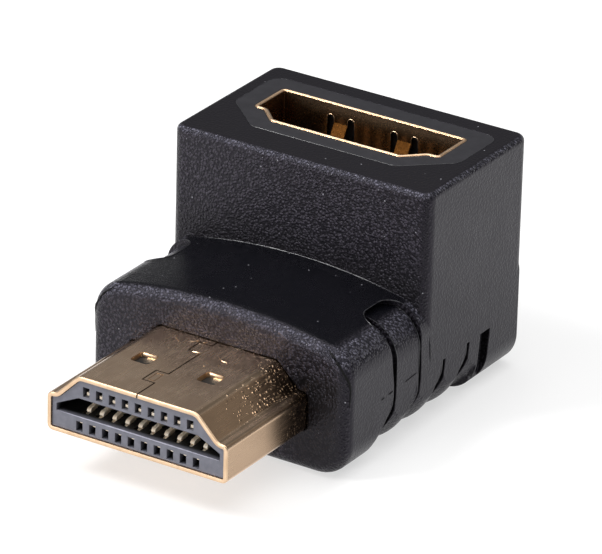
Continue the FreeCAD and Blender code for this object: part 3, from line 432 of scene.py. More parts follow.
def soft_moulding():
    """Black soft vinyl with a pebbled grain.

    The grain is nearly smooth on the level faces and faint on the sides, and its peaks on the fillets are
    drawn pale as a painted highlight. Painted shade darkens the upright corners, the low block's crown
    and two places on the front faces: the one beside the plug, whose grain is also flatter, and the
    foot of the tall block.
    """
    m = Maker("black_soft_moulding")
    points = m.places()
    x, y, z = m.axes(points)
    facing_x, facing_y, facing_z = m.facing()

    level = m.rise(facing_z, 0.88, 0.97)
    crown = m.times(level, m.fall(z, CROWN_TOP, CROWN_TOP + 1 * MM))
    across = m.maths("ABSOLUTE", facing_x)
    side = m.rise(across, 0.75, 0.95)
    corner = m.times(m.band(across, 0.2, 0.4, 0.72, 0.9), m.fall(facing_z, 0.1, 0.3))
    fillet = m.band(facing_z, 0.15, 0.5, 0.88, 0.97)
    forward = m.fall(facing_y, -0.97, -0.85)
    beside_plug = m.times(forward, m.rise(x, *BESIDE_PLUG), m.fall(z, *BESIDE_PLUG_TOP))
    tall_foot = m.times(forward, m.rise(y, *TALL_FRONT), m.fall(z, CROWN_TOP, CROWN_TOP + TALL_FOOT))

    pebble, tone = m.pebbles(points, GRAIN)
    fine = m.noise(points, GRAIN_FINE, detail=2.0)
    broad = m.noise(points, GRAIN_BROAD, detail=2.0)
    grain = m.plus(pebble, m.times(fine, 0.5))
    relief = m.times(m.span(level, 1.0, 0.18), m.span(side, 1.0, 0.2), m.span(fillet, 1.0, 1.5),
                     m.span(beside_plug, 1.0, 0.4))
    normal = m.bump(m.times(grain, relief), GRAIN_DEPTH, m.rounded(VINYL_EDGE))

    tone = m.times(m.plus(tone, 0.35), pebble)
    colour = m.ramp(tone, 0.10, VINYL_PIT, 1.0, VINYL_PEAK)
    # Painted highlight: pale colours for the grain's peaks on the fillets, standing in for the light that
    # they catch
    worn = m.ramp(tone, 0.10, FILLET_HIGHLIGHT_PIT, 1.0, FILLET_HIGHLIGHT_PEAK)
    colour = m.mix(m.times(fillet, 0.65), colour, worn)
    # Painted shade: the upright corners are drawn darker
    colour = m.mix(m.times(corner, 0.85), colour, CORNER_PAINTED_SHADE)
    # Painted shade beside the plug and at the foot of the tall block
    shade_patches = m.maths("MAXIMUM", m.times(beside_plug, 0.85), m.times(tall_foot, 0.75))
    colour = m.mix(shade_patches, colour, FRONT_PAINTED_SHADE)
    colour = m.mix(level, colour, LEVEL_BLACK)
    # Painted shade: the low block's crown is drawn darker than the other level faces
    colour = m.mix(crown, colour, CROWN_PAINTED_SHADE)
    streaks = m.noise(m.places(scale=(1, 1, 0.04)), STREAK_WIDTH)
    colour = m.mix(m.times(side, 0.9), colour, m.ramp(streaks, 0.4, STREAK_DARK, 0.75, STREAK_PALE))
    specks = m.specks(points, SPECK_SPACING, SPECK_RADIUS, SPECK_RARITY)
    colour = m.mix(specks, colour, SPECK_GREY)

    rough = m.span(m.plus(fine, broad), 0.24, 0.36, 0.7, 1.3)
    rough = m.plus(rough, m.times(m.span(level, 0.0, 0.12), m.span(crown, 1.0, 0.0)),
                   m.span(crown, 0.0, -0.05), m.span(fillet, 0.0, -0.06))
    return m.finish(Base_Color=colour, Roughness=rough, Normal=normal, Specular_IOR_Level=0.27,
                    Specular_Tint=(0.91, 0.85, 1.0))


def flash_line():
    """The thin feather edges that the moulds leave: thinner vinyl, so paler and glossier."""
    m = Maker("mould_flash")
    points = m.places()
    worn = m.noise(points, 0.35 * MM)
    colour = m.ramp(worn, 0.35, (0.012, 0.012, 0.014), 0.65, (0.042, 0.042, 0.048))
    return m.finish(Base_Color=colour, Roughness=m.span(worn, 0.22, 0.4),
                    Normal=m.bump(m.noise(points, 0.07 * MM), 0.01 * MM))


def score_shade_line():
    """The dark side of a fine score in the vinyl: a near-black painted shade."""
    m = Maker("score_shade_vinyl")
    worn = m.noise(m.places(), 0.2 * MM)
    colour = m.ramp(worn, 0.35, (0.0012, 0.0012, 0.0014), 0.65, (0.0030, 0.0030, 0.0034))
    return m.finish(Base_Color=colour, Roughness=m.span(worn, 0.6, 0.8), Specular_IOR_Level=0.2)


def hard_moulding():
    """The inner moulding: smoother and a little greyer."""
    m = Maker("dark_hard_moulding")
    points = m.places()
    fine = m.noise(points, 0.16 * MM)
    mottle = m.noise(points, 0.9 * MM, detail=4.0)
    colour = m.ramp(mottle, 0.3, (0.015, 0.0147, 0.017), 0.7, (0.021, 0.0205, 0.0235))
    return m.finish(Base_Color=colour, Roughness=m.span(fine, 0.45, 0.6), Specular_IOR_Level=0.38,
                    Specular_Tint=(0.93, 0.91, 1.0), Normal=m.bump(fine, 0.006 * MM, m.rounded(0.05 * MM)))


def vinyl_crumbs(m, points, aside, film):
    """Height of the crumbs of vinyl on the plug's right side. They thicken from film on."""
    _, y, z = m.axes(points)
    near = m.times(aside, m.rise(y, film, film + FILM_REACH))
    ahead = m.span(y, 0.0, 0.75, film - CRUMBS_AHEAD, film + CRUMBS_BEHIND)
    slope = m.fall(m.facing()[2], 0.8, 0.98)
    upper = m.times(aside, m.rise(z, *CRUMBS_UPPER))
    amount = m.maths("MAXIMUM", near, m.times(ahead, m.times(upper, slope)))
    large = m.crumbs(points, CRUMB_LARGE, m.times(amount, 0.72))
    small = m.crumbs(points, CRUMB_SMALL, m.times(amount, 0.60))
    stray = m.crumbs(points, CRUMB_STRAY, m.span(y, 0.0, 0.2, film, film + FILM_REACH))
    return m.plus(m.times(small, 0.5), m.plus(large, stray))


def gold_plating(name, film=None, well=None, edge=None):
    """Satin gold on drawn sheet metal, with faint lines along the draw.

    It gets deeper colours on upright and sloping faces, and the deepest on the bends, as painted shade.
    film is the place along Y where crumbs and a film of vinyl from the moulding begin to thicken.
    well is the height under which the walls only see each other, and get deeper colours as painted shade.
    edge is the radius that sharp edges are shaded with, where the mesh itself doesn't round them.
    """
    m = Maker(name)
    points = m.places()
    x, y, z = m.axes(points)
    facing_z = m.facing()[2]
    lines = m.noise(m.places(scale=(1, 0.08, 1)), LINE_WIDTH, detail=2.0)
    blotch = m.noise(points, BLOTCH_WIDTH)
    colour = m.ramp(blotch, 0.3, GOLD_DEEP, 0.7, GOLD_PALE)
    # Painted shade: upright, sloping and bent faces get darker colours
    upright = m.span(m.maths("ABSOLUTE", facing_z), 0.9, 0.0, 0.1, 0.5)
    colour = m.mix(upright, colour, GOLD_UPRIGHT_SHADE)
    colour = m.mix(m.band(facing_z, 0.5, 0.62, 0.76, 0.84), colour, GOLD_INCLINE_SHADE)
    colour = m.mix(m.times(m.band(facing_z, 0.78, 0.88, 0.94, 0.995), 0.65), colour, GOLD_BEND_SHADE)
    height = m.times(lines, 0.006)
    if film is not None:
        aside = m.rise(x, *CRUMBS_ASIDE)
        height = m.plus(height, vinyl_crumbs(m, points, aside, film))
        rear = m.rise(y, film - SOILED_AHEAD, film + SOILED_BEHIND)
        colour = m.mix(m.times(aside, rear, m.span(blotch, 0.75, 1.0, 0.35, 0.55)), colour, GOLD_SOILED)
    if well is not None:
        # Painted shade in the well, orange on the upward faces of the fingers
        deep = m.fall(z, well - WELL_FADE, well)
        colour = m.mix(deep, colour, m.mix(m.rise(facing_z, 0.05, 0.25), WELL_WALL_SHADE, WELL_FINGER_SHADE))
    rough = m.span(m.plus(lines, blotch), 0.20, 0.30, 0.7, 1.3)
    normal = m.bump(height, RELIEF, m.rounded(edge) if edge else None)
    return m.finish(Base_Color=colour, Metallic=1.0, Roughness=rough, Normal=normal)


def plain_gold(name, rough):
    """Gold on a bent edge, where the plating is even. It is a darker copy of the gold, a painted shade that
    tones down the edge's highlights.
    """
    m = Maker(name)
    blotch = m.noise(m.places(), 0.7 * MM)
    colour = m.ramp(blotch, 0.3, (0.60, 0.42, 0.27), 0.7, (0.72, 0.53, 0.36))
    return m.finish(Base_Color=colour, Metallic=1.0, Roughness=m.span(blotch, rough - 0.04, rough + 0.04))


def insulator(name, low, high, front=None):
    """Moulded plastic with a faint mottle. Behind its front face, if that is given, it darkens in painted
    shade.
    """
    m = Maker(name)
    points = m.places()
    mottle = m.noise(points, 0.5 * MM, detail=5.0)
    fine = m.noise(points, 0.07 * MM, detail=2.0)
    colour = m.ramp(mottle, 0.3, low, 0.7, high)
    if front is not None:
        # Painted shade: near black from a little behind the front face
        depth = m.axes(points)[1]
        colour = m.mix(m.rise(depth, front + 0.04 * MM, front + 0.54 * MM), colour, (0.004, 0.004, 0.004))
    normal = m.bump(fine, 0.004 * MM, m.rounded(0.035 * MM))
    return m.finish(Base_Color=colour, Roughness=m.span(mottle, 0.42, 0.6), Normal=normal)


def contact_metal():
    """Thin gold flash over nickel on the contacts, duller in patches."""
    m = Maker("contact_metal")
    points = m.places()
    patches = m.noise(points, 0.4 * MM, detail=4.0)
    colour = m.ramp(patches, 0.35, (0.98, 0.80, 0.60), 0.65, (1.0, 0.90, 0.74))
    normal = m.bump(m.noise(points, 0.05 * MM), 0.001 * MM, m.rounded(0.03 * MM))
    return m.finish(Base_Color=colour, Metallic=0.1, Roughness=m.span(patches, 0.35, 0.5), Normal=normal)


def board_material():
    """Green glass fibre laminate with a faint weave."""
    m = Maker("circuit_board")
    weave = m.noise(m.places(), 0.2 * MM)
    colour = m.ramp(weave, 0.3, (0.012, 0.075, 0.03), 0.7, (0.02, 0.11, 0.045))
    return m.finish(Base_Color=colour, Roughness=m.span(weave, 0.35, 0.5), Normal=m.bump(weave, 0.004 * MM))


def floor_material():
    """The white acrylic of a product table, with a little light from below."""
    m = Maker("pale_floor")
    colour = m.ramp(m.noise(m.places(), 30 * MM), 0.3, (0.39, 0.39, 0.39), 0.7, (0.41, 0.41, 0.41))
    return m.finish(Base_Color=colour, Roughness=0.9, Emission_Color=(1.0, 1.0, 1.0),
                    Emission_Strength=FLOOR_GLOW)


def dress(node, material):
    """Give a CAD node this material."""
    piece = nodes[node]
    piece.data.materials.clear()
    piece.data.materials.append(material)


# Camera, floor and lights

def make_camera():
    azimuth = math.radians(CAMERA_AZIMUTH)
    elevation = math.radians(CAMERA_ELEVATION)
    roll = math.radians(CAMERA_ROLL)
    back = Vector((math.sin(azimuth) * math.cos(elevation), -math.cos(azimuth) * math.cos(elevation),
                   math.sin(elevation)))
    right = Vector((math.cos(azimuth), math.sin(azimuth), 0.0))
    up = back.cross(right)
    across = right * math.cos(roll) + up * math.sin(roll)
    upward = up * math.cos(roll) - right * math.sin(roll)
    place = CAMERA_TARGET + back * CAMERA_DISTANCE + across * CAMERA_SIDE + upward * CAMERA_RISE
    data = bpy.data.cameras.new("camera")
    data.lens = CAMERA_LENS
    data.sensor_width = CAMERA_SENSOR
    data.clip_start = 0.01
    data.clip_end = 20.0
    camera = bpy.data.objects.new("camera", data)
    scene.collection.objects.link(camera)
    turn = Matrix((across, upward, back)).transposed().to_4x4()
    camera.matrix_world = Matrix.Translation(place) @ turn
    scene.camera = camera


def area_light(name, place, width, height, power):
    data = bpy.data.lights.new(name, "AREA")
    data.shape = "RECTANGLE"
    data.size = width
    data.size_y = height
    data.energy = power
    light = bpy.data.objects.new(name, data)
    scene.collection.objects.link(light)
    light.location = place
    light.rotation_euler = (Vector(LIGHT_AIM) - Vector(place)).to_track_quat("-Z", "Y").to_euler()


def make_studio():
    mesh = bpy.data.meshes.new("floor")
    corners = [(-1, -1), (1, -1), (1, 1), (-1, 1)]
    mesh.from_pydata([(x * FLOOR_REACH, y * FLOOR_REACH, 0) for x, y in corners], [], [(0, 1, 2, 3)])
    floor = bpy.data.objects.new("floor", mesh)
    floor.data.materials.append(floor_material())
    scene.collection.objects.link(floor)
    world = bpy.data.worlds.new("studio")
    scene.world = world
    world.use_nodes = True
    sky = world.node_tree.nodes["Background"]
    sky.inputs["Color"].default_value = (1.0, 1.0, 1.0, 1.0)
    sky.inputs["Strength"].default_value = WORLD_STRENGTH
    for light in LIGHTS:
        area_light(*light)


def dress_nodes():
    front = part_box("plug_insulator")[0].y
    grey = insulator("blue_grey_insulator", (0.088, 0.090, 0.112), (0.128, 0.128, 0.156), front)
    black = insulator("black_insulator", (0.006, 0.005, 0.0045), (0.010, 0.008, 0.007))
    contacts = contact_metal()
    wanted = {"outer_mould": SOFT, "inner_mould": HARD, "socket_shell": SOCKET_GOLD,
              "plug_insulator": grey, "socket_insulator": black, "circuit_board": board_material()}
    for name in nodes:
        if name != "plug_shell":
            dress(name, wanted.get(name, contacts))
            nodes[name].data.polygons.foreach_set("use_smooth", [True] * len(nodes[name].data.polygons))


# Shapes

def new_mesh(name, points, faces):
    """A mesh object with its faces turned outward."""
    mesh = bpy.data.meshes.new(name)
    mesh.from_pydata(points, [], faces)
    work = bmesh.new()
    work.from_mesh(mesh)
    bmesh.ops.recalc_face_normals(work, faces=work.faces)
    work.to_mesh(mesh)
    work.free()
    piece = bpy.data.objects.new(name, mesh)
    scene.collection.objects.link(piece)
    return piece


def new_piece(name, points, faces, material):
    """A mesh piece of the part, which rides on its one body."""
    piece = new_mesh(name, points, faces)
    piece.data.materials.append(material)
    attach(piece, "root")
    return piece


def smooth(piece):
    """Smooth shading that leaves the flat faces flat."""
    piece.data.polygons.foreach_set("use_smooth", [True] * len(piece.data.polygons))
    piece.data.set_sharp_from_angle(angle=math.radians(35))
    weighted = piece.modifiers.new("even_faces", "WEIGHTED_NORMAL")
    weighted.keep_sharp = True


def ring_faces(loops, size, closed, first=0):
    """Quads between loops of size points each. Closed rings join the last loop to the first."""
    faces = []
    for loop in range(loops if closed else loops - 1):
        here = first + loop * size
        there = first + (loop + 1) % loops * size
        for n in range(size):
            after = (n + 1) % size
            faces.append((here + n, here + after, there + after, there + n))
    return faces


def rounded_outline(corners, steps=6):
    """A closed outline through the corners, each (across, up, radius of its rounding)."""
    points = []
    places = [Vector(corner[:2]) for corner in corners]
    for index, (here, corner) in enumerate(zip(places, corners)):
        before = (places[index - 1] - here).normalized()
        after = (places[(index + 1) % len(places)] - here).normalized()
        half = before.angle(after) / 2
        middle = here + (before + after).normalized() * (corner[2] / math.sin(half))
        start = here + before * (corner[2] / math.tan(half)) - middle
        end = here + after * (corner[2] / math.tan(half)) - middle
        turn = start.angle_signed(end)
        for step in range(steps + 1):
            arm = start.copy()
            arm.rotate(Matrix.Rotation(-turn * step / steps, 2))
            points.append(middle + arm)
    return points


def prism(name, outline, low, high):
    """An upright block over an outline in the XY plane, to cut with."""
    count = len(outline)
    points = [(x, y, z) for z in (low, high) for x, y in outline]
    faces = ring_faces(2, count, False)
    faces += [tuple(range(count)), tuple(range(count, 2 * count))]
    return new_mesh(name, points, faces)


def cut(piece, cutters):
    """Cut each block out of the piece, and delete the blocks."""
    for cutter in cutters:
        change = piece.modifiers.new("cut", "BOOLEAN")
        change.operation = "DIFFERENCE"
        change.solver = "EXACT"
        change.object = cutter
    bpy.context.view_layer.update()
    evaluated = piece.evaluated_get(bpy.context.evaluated_depsgraph_get())
    mesh = bpy.data.meshes.new_from_object(evaluated)
    piece.modifiers.clear()
    piece.data = mesh
    for cutter in cutters:
        bpy.data.objects.remove(cutter)


def tube(path, radii):
    """Points and faces of a thin rod along a path, tapered by the radii, with closed ends."""
    points = []
    for index, (place, radius) in enumerate(zip(path, radii)):
        way = (path[min(index + 1, len(path) - 1)] - path[max(index - 1, 0)]).normalized()
        across = way.orthogonal().normalized()
        other = way.cross(across)
        for side in range(ROD_SIDES):
            angle = 2 * math.pi * side / ROD_SIDES
            points.append(place + (across * math.cos(angle) + other * math.sin(angle)) * radius)
    faces = ring_faces(len(path), ROD_SIDES, False)
    last = (len(path) - 1) * ROD_SIDES
    faces += [tuple(range(ROD_SIDES)), tuple(range(last, last + ROD_SIDES))]
    return points, faces


def rods(name, paths, material):
    """One piece of thin rods, each a little uneven and tapered to its ends."""
    radius, uneven = RODS[name]
    dice = random.Random(len(name))
    points = []
    faces = []
    for path in paths:
        last = len(path) - 1
        radii = []
        for index in range(len(path)):
            taper = min(1.0, 0.3 + 4 * min(index, last - index) / last)
            radii.append(radius * taper * (1 + uneven * (dice.random() - 0.5)))
        more, sides = tube(path, radii)
        faces += [tuple(corner + len(points) for corner in face) for face in sides]
        points += more
    smooth(new_piece(name, points, faces, material))


def mirrored(path):
    return [Vector((-place.x, place.y, place.z)) for place in path]


# Plug shell

def plug_corners(inset):
    """The plug's section in the XZ plane, moved inward, with the folds rounded as the photo shows."""
    low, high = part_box("plug_shell")
    side, bottom, top = high.x, low.z, high.z
    ledge = bottom + PLUG_LEDGE
    foot = side - PLUG_SHELF
    narrow = foot - (top - ledge)
    shift = inset * HALF_SLOPE
    right = [
        (side - inset, bottom + inset, LOWER_FOLD - inset),
        (side - inset, ledge - inset, SIDE_FOLD - inset),
        (foot - shift, ledge - inset, CURL + inset),
        (narrow - shift, top - inset, UPPER_FOLD - inset),
    ]
    return right + [(-x, z, radius) for x, z, radius in reversed(right)]


def window_corners(side, inset_side, inset_front, inset_rear, radius):
    """A latch window seen from above, moved inward. side is 1 on the right and -1 on the left."""
    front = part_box("plug_shell")[0].y + WINDOW_START + inset_front
    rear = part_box("plug_shell")[0].y + WINDOW_START + WINDOW_LENGTH - inset_rear
    near = WINDOW_INSET + inset_side
    far = WINDOW_INSET + WINDOW_WIDTH - inset_side
    low, high = (near, far) if side > 0 else (-far, -near)
    return rounded_outline([(low, front, radius), (high, front, radius), (high, rear, radius),
                            (low, rear, radius)], 4)


def seam_ribbon(rim, end):
    """The seam's gap seen from above: straight, with two tabs to the left."""
    path = [Vector((0, rim - 1 * MM))]
    for start, length in SEAM_TABS:
        path += [Vector((0, rim + start)), Vector((-TAB_WIDTH, rim + start)),
                 Vector((-TAB_WIDTH, rim + start + length)), Vector((0, rim + start + length))]
    path.append(Vector((0, end + 1 * MM)))
    lefts = []
    for here, there in zip(path, path[1:]):
        way = (there - here).normalized()
        lefts.append(Vector((-way.y, way.x)))
    left = []
    right = []
    for number, place in enumerate(path):
        before = lefts[max(number - 1, 0)]
        after = lefts[min(number, len(lefts) - 1)]
        shift = before if (before - after).length < 0.01 else before + after
        left.append(place + shift * SEAM_GAP / 2)
        right.append(place - shift * SEAM_GAP / 2)
    return right + left[::-1]


def make_plug_shell():
    """The plug's folded shell with its rounded rim, its latch windows, its seam and its mark."""
    low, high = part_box("plug_shell")
    rings = [(0.0, high.y)]
    for step in range(RIM_STEPS + 1):
        angle = math.pi / 2 * step / RIM_STEPS
        rings.append((RIM_ROUNDING * (1 - math.cos(angle)), low.y + RIM_ROUNDING * (1 - math.sin(angle))))
    rings += [(SHEET - outside, low.y + behind) for outside, behind in RIM_BREAK]
    rings.append((SHEET, high.y))
    points = []
    for inset, along in rings:
        outline = rounded_outline(plug_corners(inset))
        points += [(x, along, z) for x, z in outline]
    faces = ring_faces(len(rings), len(outline), True)
    shell = new_piece("plug_shell_formed", points, faces, PLUG_GOLD)
    cutters = []
    above = high.z + 1 * MM
    for side in (1, -1):
        window = window_corners(side, 0, 0, 0, WINDOW_RADIUS)
        cutters.append(prism("window_cutter", window, low.z - 1 * MM, above))
    cutters.append(prism("seam_cutter", seam_ribbon(low.y, high.y), high.z - 1.3 * SHEET, above))
    cutters.append(mark_cutter(low, high))
    cut(shell, cutters)
    shell.data.materials.append(RIM_GOLD)
    for face in shell.data.polygons:
        if face.center.y < low.y + RIM_ROUNDING:
            face.material_index = 1
    smooth(shell)
    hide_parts("plug_shell")


def mark_cutter(low, high):
    """A frame to cut the faint rectangle with that is pressed in beside the seam's first tab."""
    start, length = SEAM_TABS[0]
    left = MARK_LEFT - TAB_WIDTH
    right = -MARK_RIGHT
    front = low.y + start + MARK_FRONT
    rear = low.y + start + length - MARK_REAR
    points = []
    for inset, height in ((0, 1 * MM), (0, -MARK_DEPTH), (MARK_LINE, -MARK_DEPTH), (MARK_LINE, 1 * MM)):
        corners = ((left + inset, front + inset), (right - inset, front + inset),
                   (right - inset, rear - inset), (left + inset, rear - inset))
        points += [(x, y, high.z + height) for x, y in corners]
    return new_mesh("mark_cutter", points, ring_faces(4, 4, True))


def make_plug_scuffs():
    """Bright burrs of the scratches on the plug's top, near the moulding."""
    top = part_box("plug_shell")[1].z
    paths = []
    for scuff in SCUFFS:
        corners = [Vector((x * MM, y * MM, top)) for x, y in scuff]
        path = corners[:1]
        for here, there in zip(corners, corners[1:]):
            path += [here.lerp(there, n / 4) for n in range(1, 5)]
        paths.append(path)
    rods("plug_scuffs", paths, LIP_GOLD)


def make_window_lips():
    """The windows' edges are bent in, a little more at the rear than on the other sides."""
    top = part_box("plug_shell")[1].z
    bottom = top - 1.05 * SHEET
    slack = 0.01 * MM
    # Inset at the sides, at the front and at the rear, radius of the corners, and height
    rows = (
        (-slack, -slack, -slack, WINDOW_RADIUS, top - 0.03 * MM),
        (0.02 * MM, 0.02 * MM, 0.02 * MM, WINDOW_RADIUS, top - 0.015 * MM),
        (0.05 * MM, 0.05 * MM, 0.065 * MM, 0.19 * MM, top - 0.11 * MM),
        (0.06 * MM, 0.06 * MM, 0.075 * MM, 0.18 * MM, bottom),
        (-slack, -slack, -slack, WINDOW_RADIUS, bottom),
    )
    for name, side in (("right", 1), ("left", -1)):
        points = []
        for *insets, radius, height in rows:
            outline = window_corners(side, *insets, radius)
            points += [(x, y, height) for x, y in outline]
        faces = ring_faces(len(rows), len(outline), True)
        smooth(new_piece(f"window_lip_{name}", points, faces, LIP_GOLD))
        make_latch(name, side, top)


def make_latch(name, side, top):
    """The bent end of the sheet inside the window, behind its rear lip."""
    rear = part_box("plug_shell")[0].y + WINDOW_START + WINDOW_LENGTH
    middle = (WINDOW_INSET + WINDOW_WIDTH / 2) * side
    section = [(rear - ahead, top - depth) for ahead, depth in LATCH_SECTION]
    points = [(x, y, z) for x in (middle - LATCH_LEFT, middle + LATCH_RIGHT) for y, z in section]
    faces = ring_faces(2, 4, False) + [(0, 1, 2, 3), (4, 5, 6, 7)]
    new_piece(f"latch_end_{name}", points, faces, LIP_GOLD)


# Socket

def socket_corners(inset):
    """The socket shell's outline in the XY plane, wide side to the rear, moved inward from outside."""
    side = SOCKET_HALF + SHEET
    depth = SOCKET_DEPTH + 2 * SHEET
    rear = SOCKET + depth / 2
    ledge = rear - SOCKET_LEDGE - 2 * SHEET
    foot = side - SOCKET_SHELF - SHEET * (1 - HALF_SLOPE)
    narrow = foot - (ledge - (rear - depth))
    shift = inset * HALF_SLOPE
    right = [
        (narrow - shift, rear - depth + inset, SOCKET_FOLD - inset),
        (foot - shift, ledge + inset, SOCKET_CURL + inset),
        (side - inset, ledge + inset, SOCKET_FOLD - inset),
        (side - inset, rear - inset, SOCKET_FOLD - inset),
    ]
    return right + [(-x, y, radius) for x, y, radius in reversed(right)]


def make_socket_rim():
    """The rounded edge of the socket's sheet."""
    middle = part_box("outer_mould")[1].z - BEAD_SUNK
    points = []
    for step in range(BEAD_SIDES):
        angle = 2 * math.pi * step / BEAD_SIDES
        outline = rounded_outline(socket_corners(SHEET / 2 - RIM_BEAD * math.cos(angle)))
        height = middle + RIM_BEAD * math.sin(angle)
        points += [(x, y, height) for x, y in outline]
    faces = ring_faces(BEAD_SIDES, len(outline), True)
    smooth(new_piece("socket_rim", points, faces, RIM_GOLD))


def make_slot_arches():
    """The slots beside the spring fingers end in a round top: each gets the sheet round its arch."""
    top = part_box("outer_mould")[1].z - SLOT_TOP
    radius = SLOT_WIDTH / 2
    crest = top - ARCH_DROP - radius
    rear_wall = SOCKET + SOCKET_DEPTH / 2
    front_wall = SOCKET - SOCKET_DEPTH / 2 - SHEET
    points = []
    faces = []
    edges = []
    for wall, inner in ((rear_wall, rear_wall), (front_wall, front_wall + SHEET)):
        for side in (-1, 1):
            for shift in (-1, 1):
                middle = FINGER_PLACE * side + (FINGER_WIDTH + SLOT_WIDTH) / 2 * shift
                arch = []
                for step in range(ARCH_STEPS + 1):
                    angle = math.pi * step / ARCH_STEPS
                    arch.append((middle + radius * math.cos(angle), crest + radius * math.sin(angle)))
                legs = [(arch[0][0], crest - ARCH_LEG), *arch, (arch[-1][0], crest - ARCH_LEG)]
                edges.append([Vector((x, inner, z)) for x, z in legs])
                lid = [(x, top + ARCH_LAP) for x, _ in arch]
                first = len(points)
                for along in (wall - ARCH_PROUD, wall + SHEET + ARCH_PROUD):
                    points += [(x, along, z) for x, z in arch + lid[::-1]]
                count = len(arch) * 2
                faces += ring_faces(2, count, False, first)
                for n in range(ARCH_STEPS):
                    for start in (first, first + count):
                        end = start + count - 1
                        faces.append((start + n, start + n + 1, end - n - 1, end - n))
    new_piece("slot_arches", points, faces, gold_plating("arch_gold", well=WELL_TOP))
    rods("slot_edges", edges, RIM_GOLD)


# Fine lines of the moulds

def crown_section(drop=0.0, shoulder=SHOULDER):
    """Points of the low block's section from its right side up to the middle of its crown."""
    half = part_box("outer_mould")[1].x
    top = CROWN_TOP - drop
    crown = (half * half + CROWN_RISE * CROWN_RISE) / (2 * CROWN_RISE) - drop
    across = half - shoulder
    centre = top - crown
    up = centre + math.sqrt((crown - shoulder) ** 2 - across ** 2)
    turn = math.atan2(up - centre, across)
    points = [Vector((half, z)) for z in SIDE_LEVELS]
    for step in range(SHOULDER_STEPS + 1):
        angle = turn * step / SHOULDER_STEPS
        points.append(Vector((across + shoulder * math.cos(angle), up + shoulder * math.sin(angle))))
    first = points[-1].x
    for step in range(1, CROWN_STEPS + 1):
        x = first * (1 - step / CROWN_STEPS)
        points.append(Vector((x, centre + math.sqrt(crown ** 2 - x ** 2))))
    return points


def make_crown_flash():
    """The feather edge where the low block's crown meets the tall block."""
    right = [place for place in crown_section() if place.x < CROWN_FLASH_REACH]
    section = [Vector((-place.x, place.y)) for place in right[:-1]] + right[::-1]
    path = [Vector((x, STEP - 0.005 * MM, z + PROUD)) for x, z in section]
    rods("crown_flash", [path], FLASH)


def make_nose_outline():
    """The faint edge of the inner moulding's nose in the top, open along its rear."""
    bevel = NOSE_HALF - NOSE_BEVEL_ACROSS
    shoulder = NOSE_FRONT + NOSE_BEVEL_ALONG
    corners = [(-NOSE_HALF, NOSE_BACK), (-NOSE_HALF, shoulder), (-bevel, NOSE_FRONT),
               (bevel, NOSE_FRONT), (NOSE_HALF, shoulder), (NOSE_HALF, NOSE_BACK)]
    outline = rounded_outline([(x, y, NOSE_CORNER) for x, y in corners], 8)
    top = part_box("outer_mould")[1].z - 0.004 * MM
    rods("nose_outline", [[Vector((x, y, top)) for x, y in outline]], FLASH)


def make_mouth_edge():
    """The light front edge of the plug's tongue space: a rod in a pale insulator, whose paleness is a
    painted highlight.
    """
    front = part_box("plug_insulator")[0].y + PROUD
    path = [Vector(((n / 12 - 0.5) * 2 * MOUTH_HALF, front, MOUTH_LEVEL)) for n in range(13)]
    pale = insulator("edge_highlight_insulator", (0.24, 0.24, 0.30), (0.38, 0.38, 0.46))
    rods("mouth_edge", [path], pale)


def make_contact_noses():
    """The rounded front ends of the lower contacts, where they come up out of the tongue space's floor."""
    profile = []
    for n in range(7):
        angle = math.pi / 12 * n
        profile.append((CONTACT_TIP + CONTACT_ROUND * (1 - math.cos(angle)),
                        CONTACT_LOW + CONTACT_ROUND * math.sin(angle)))
    profile += [(CONTACT_REAR, CONTACT_CREST), (CONTACT_REAR, CONTACT_LOW)]
    count = len(profile)
    points = []
    faces = []
    for name in nodes:
        if name.startswith("plug_contact_wide"):
            low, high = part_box(name)
            middle = (low.x + high.x) / 2
            first = len(points)
            for x in (middle - CONTACT_HALF, middle + CONTACT_HALF):
                points += [(x, y, z) for y, z in profile]
            faces += ring_faces(2, count, False, first)
            faces += [tuple(range(first, first + count)), tuple(range(first + count, first + 2 * count))]
    smooth(new_piece("contact_noses", points, faces, contact_metal()))


def make_rib_edges():
    """The bright edges of the rib between the two looped grooves, on both sides."""
    section = [place for place in crown_section(RIB_DROP, RIB_SHOULDER) if place.x > CROWN_FLASH_REACH]
    paths = []
    for along in (RIB_FRONT, RIB_BACK):
        path = [Vector((x + PROUD, along, z + PROUD)) for x, z in section]
        paths += [path, mirrored(path)]
    rods("rib_edges", paths, FLASH)


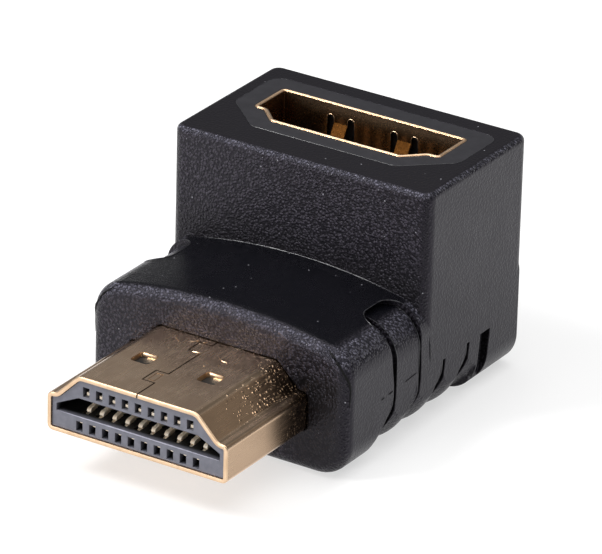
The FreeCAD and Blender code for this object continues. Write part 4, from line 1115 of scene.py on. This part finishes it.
def make_loop_edge():
    """The worn edge of the crown round the head of the loop, on both sides."""
    section = crown_section()
    steps = [(place.y - place.x) / math.sqrt(2) for place in section]

    def on_section(step):
        for here, there, low, high in zip(section, section[1:], steps, steps[1:]):
            if low <= step <= high:
                return here.lerp(there, (step - low) / (high - low))
        return section[-1]

    outline = rounded_outline([
        (LOOP_FRONT, LOOP_FOOT, LOOP_CORNER),
        (LOOP_BACK, LOOP_FOOT, LOOP_CORNER),
        (LOOP_BACK - LOOP_BACK_LEAN, LOOP_CREST, LOOP_HEAD),
        (LOOP_FRONT - LOOP_FRONT_LEAN, LOOP_CREST, LOOP_HEAD),
    ], 10)
    path = []
    for along, step in outline:
        if step > LOOP_EDGE_FOOT:
            x, z = on_section(step)
            path.append(Vector((x + PROUD, along, z + PROUD)))
    rods("loop_edge", [path, mirrored(path)], FLASH)


def make_corner_creases():
    """The dark crease down the low block's front corners, on both sides, as rods in painted shade."""
    path = [Vector(place) * MM for place in CREASE]
    rods("corner_creases", [path, mirrored(path)], SCORE_SHADE)


def make_side_scores():
    """Fragments of the parting line between the grooves, and a short score on the tall block, as rods in
    painted shade.
    """
    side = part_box("outer_mould")[1].x
    paths = []
    for start, end, height, rise in SCORES:
        path = [Vector((side, start + (end - start) * n / 6, height + rise * n / 6)) for n in range(7)]
        paths += [path, mirrored(path)]
    rods("side_scores", paths, SCORE_SHADE)


scene.view_settings.view_transform = "Standard"
make_camera()
make_studio()
SOFT = soft_moulding()
HARD = hard_moulding()
FLASH = flash_line()
SCORE_SHADE = score_shade_line()
PLUG_GOLD = gold_plating("plug_gold", film=FILM_START)
SOCKET_GOLD = gold_plating("socket_gold", well=WELL_TOP, edge=0.05 * MM)
# Darker copies of the gold, in painted shade, for bent edges, burrs and rims
LIP_GOLD = plain_gold("lip_gold", 0.32)
RIM_GOLD = plain_gold("rim_gold", 0.46)
dress_nodes()
make_plug_shell()
make_plug_scuffs()
make_window_lips()
make_crown_flash()
make_nose_outline()
make_mouth_edge()
make_contact_noses()
make_rib_edges()
make_loop_edge()
make_socket_rim()
make_slot_arches()
make_corner_creases()
make_side_scores()
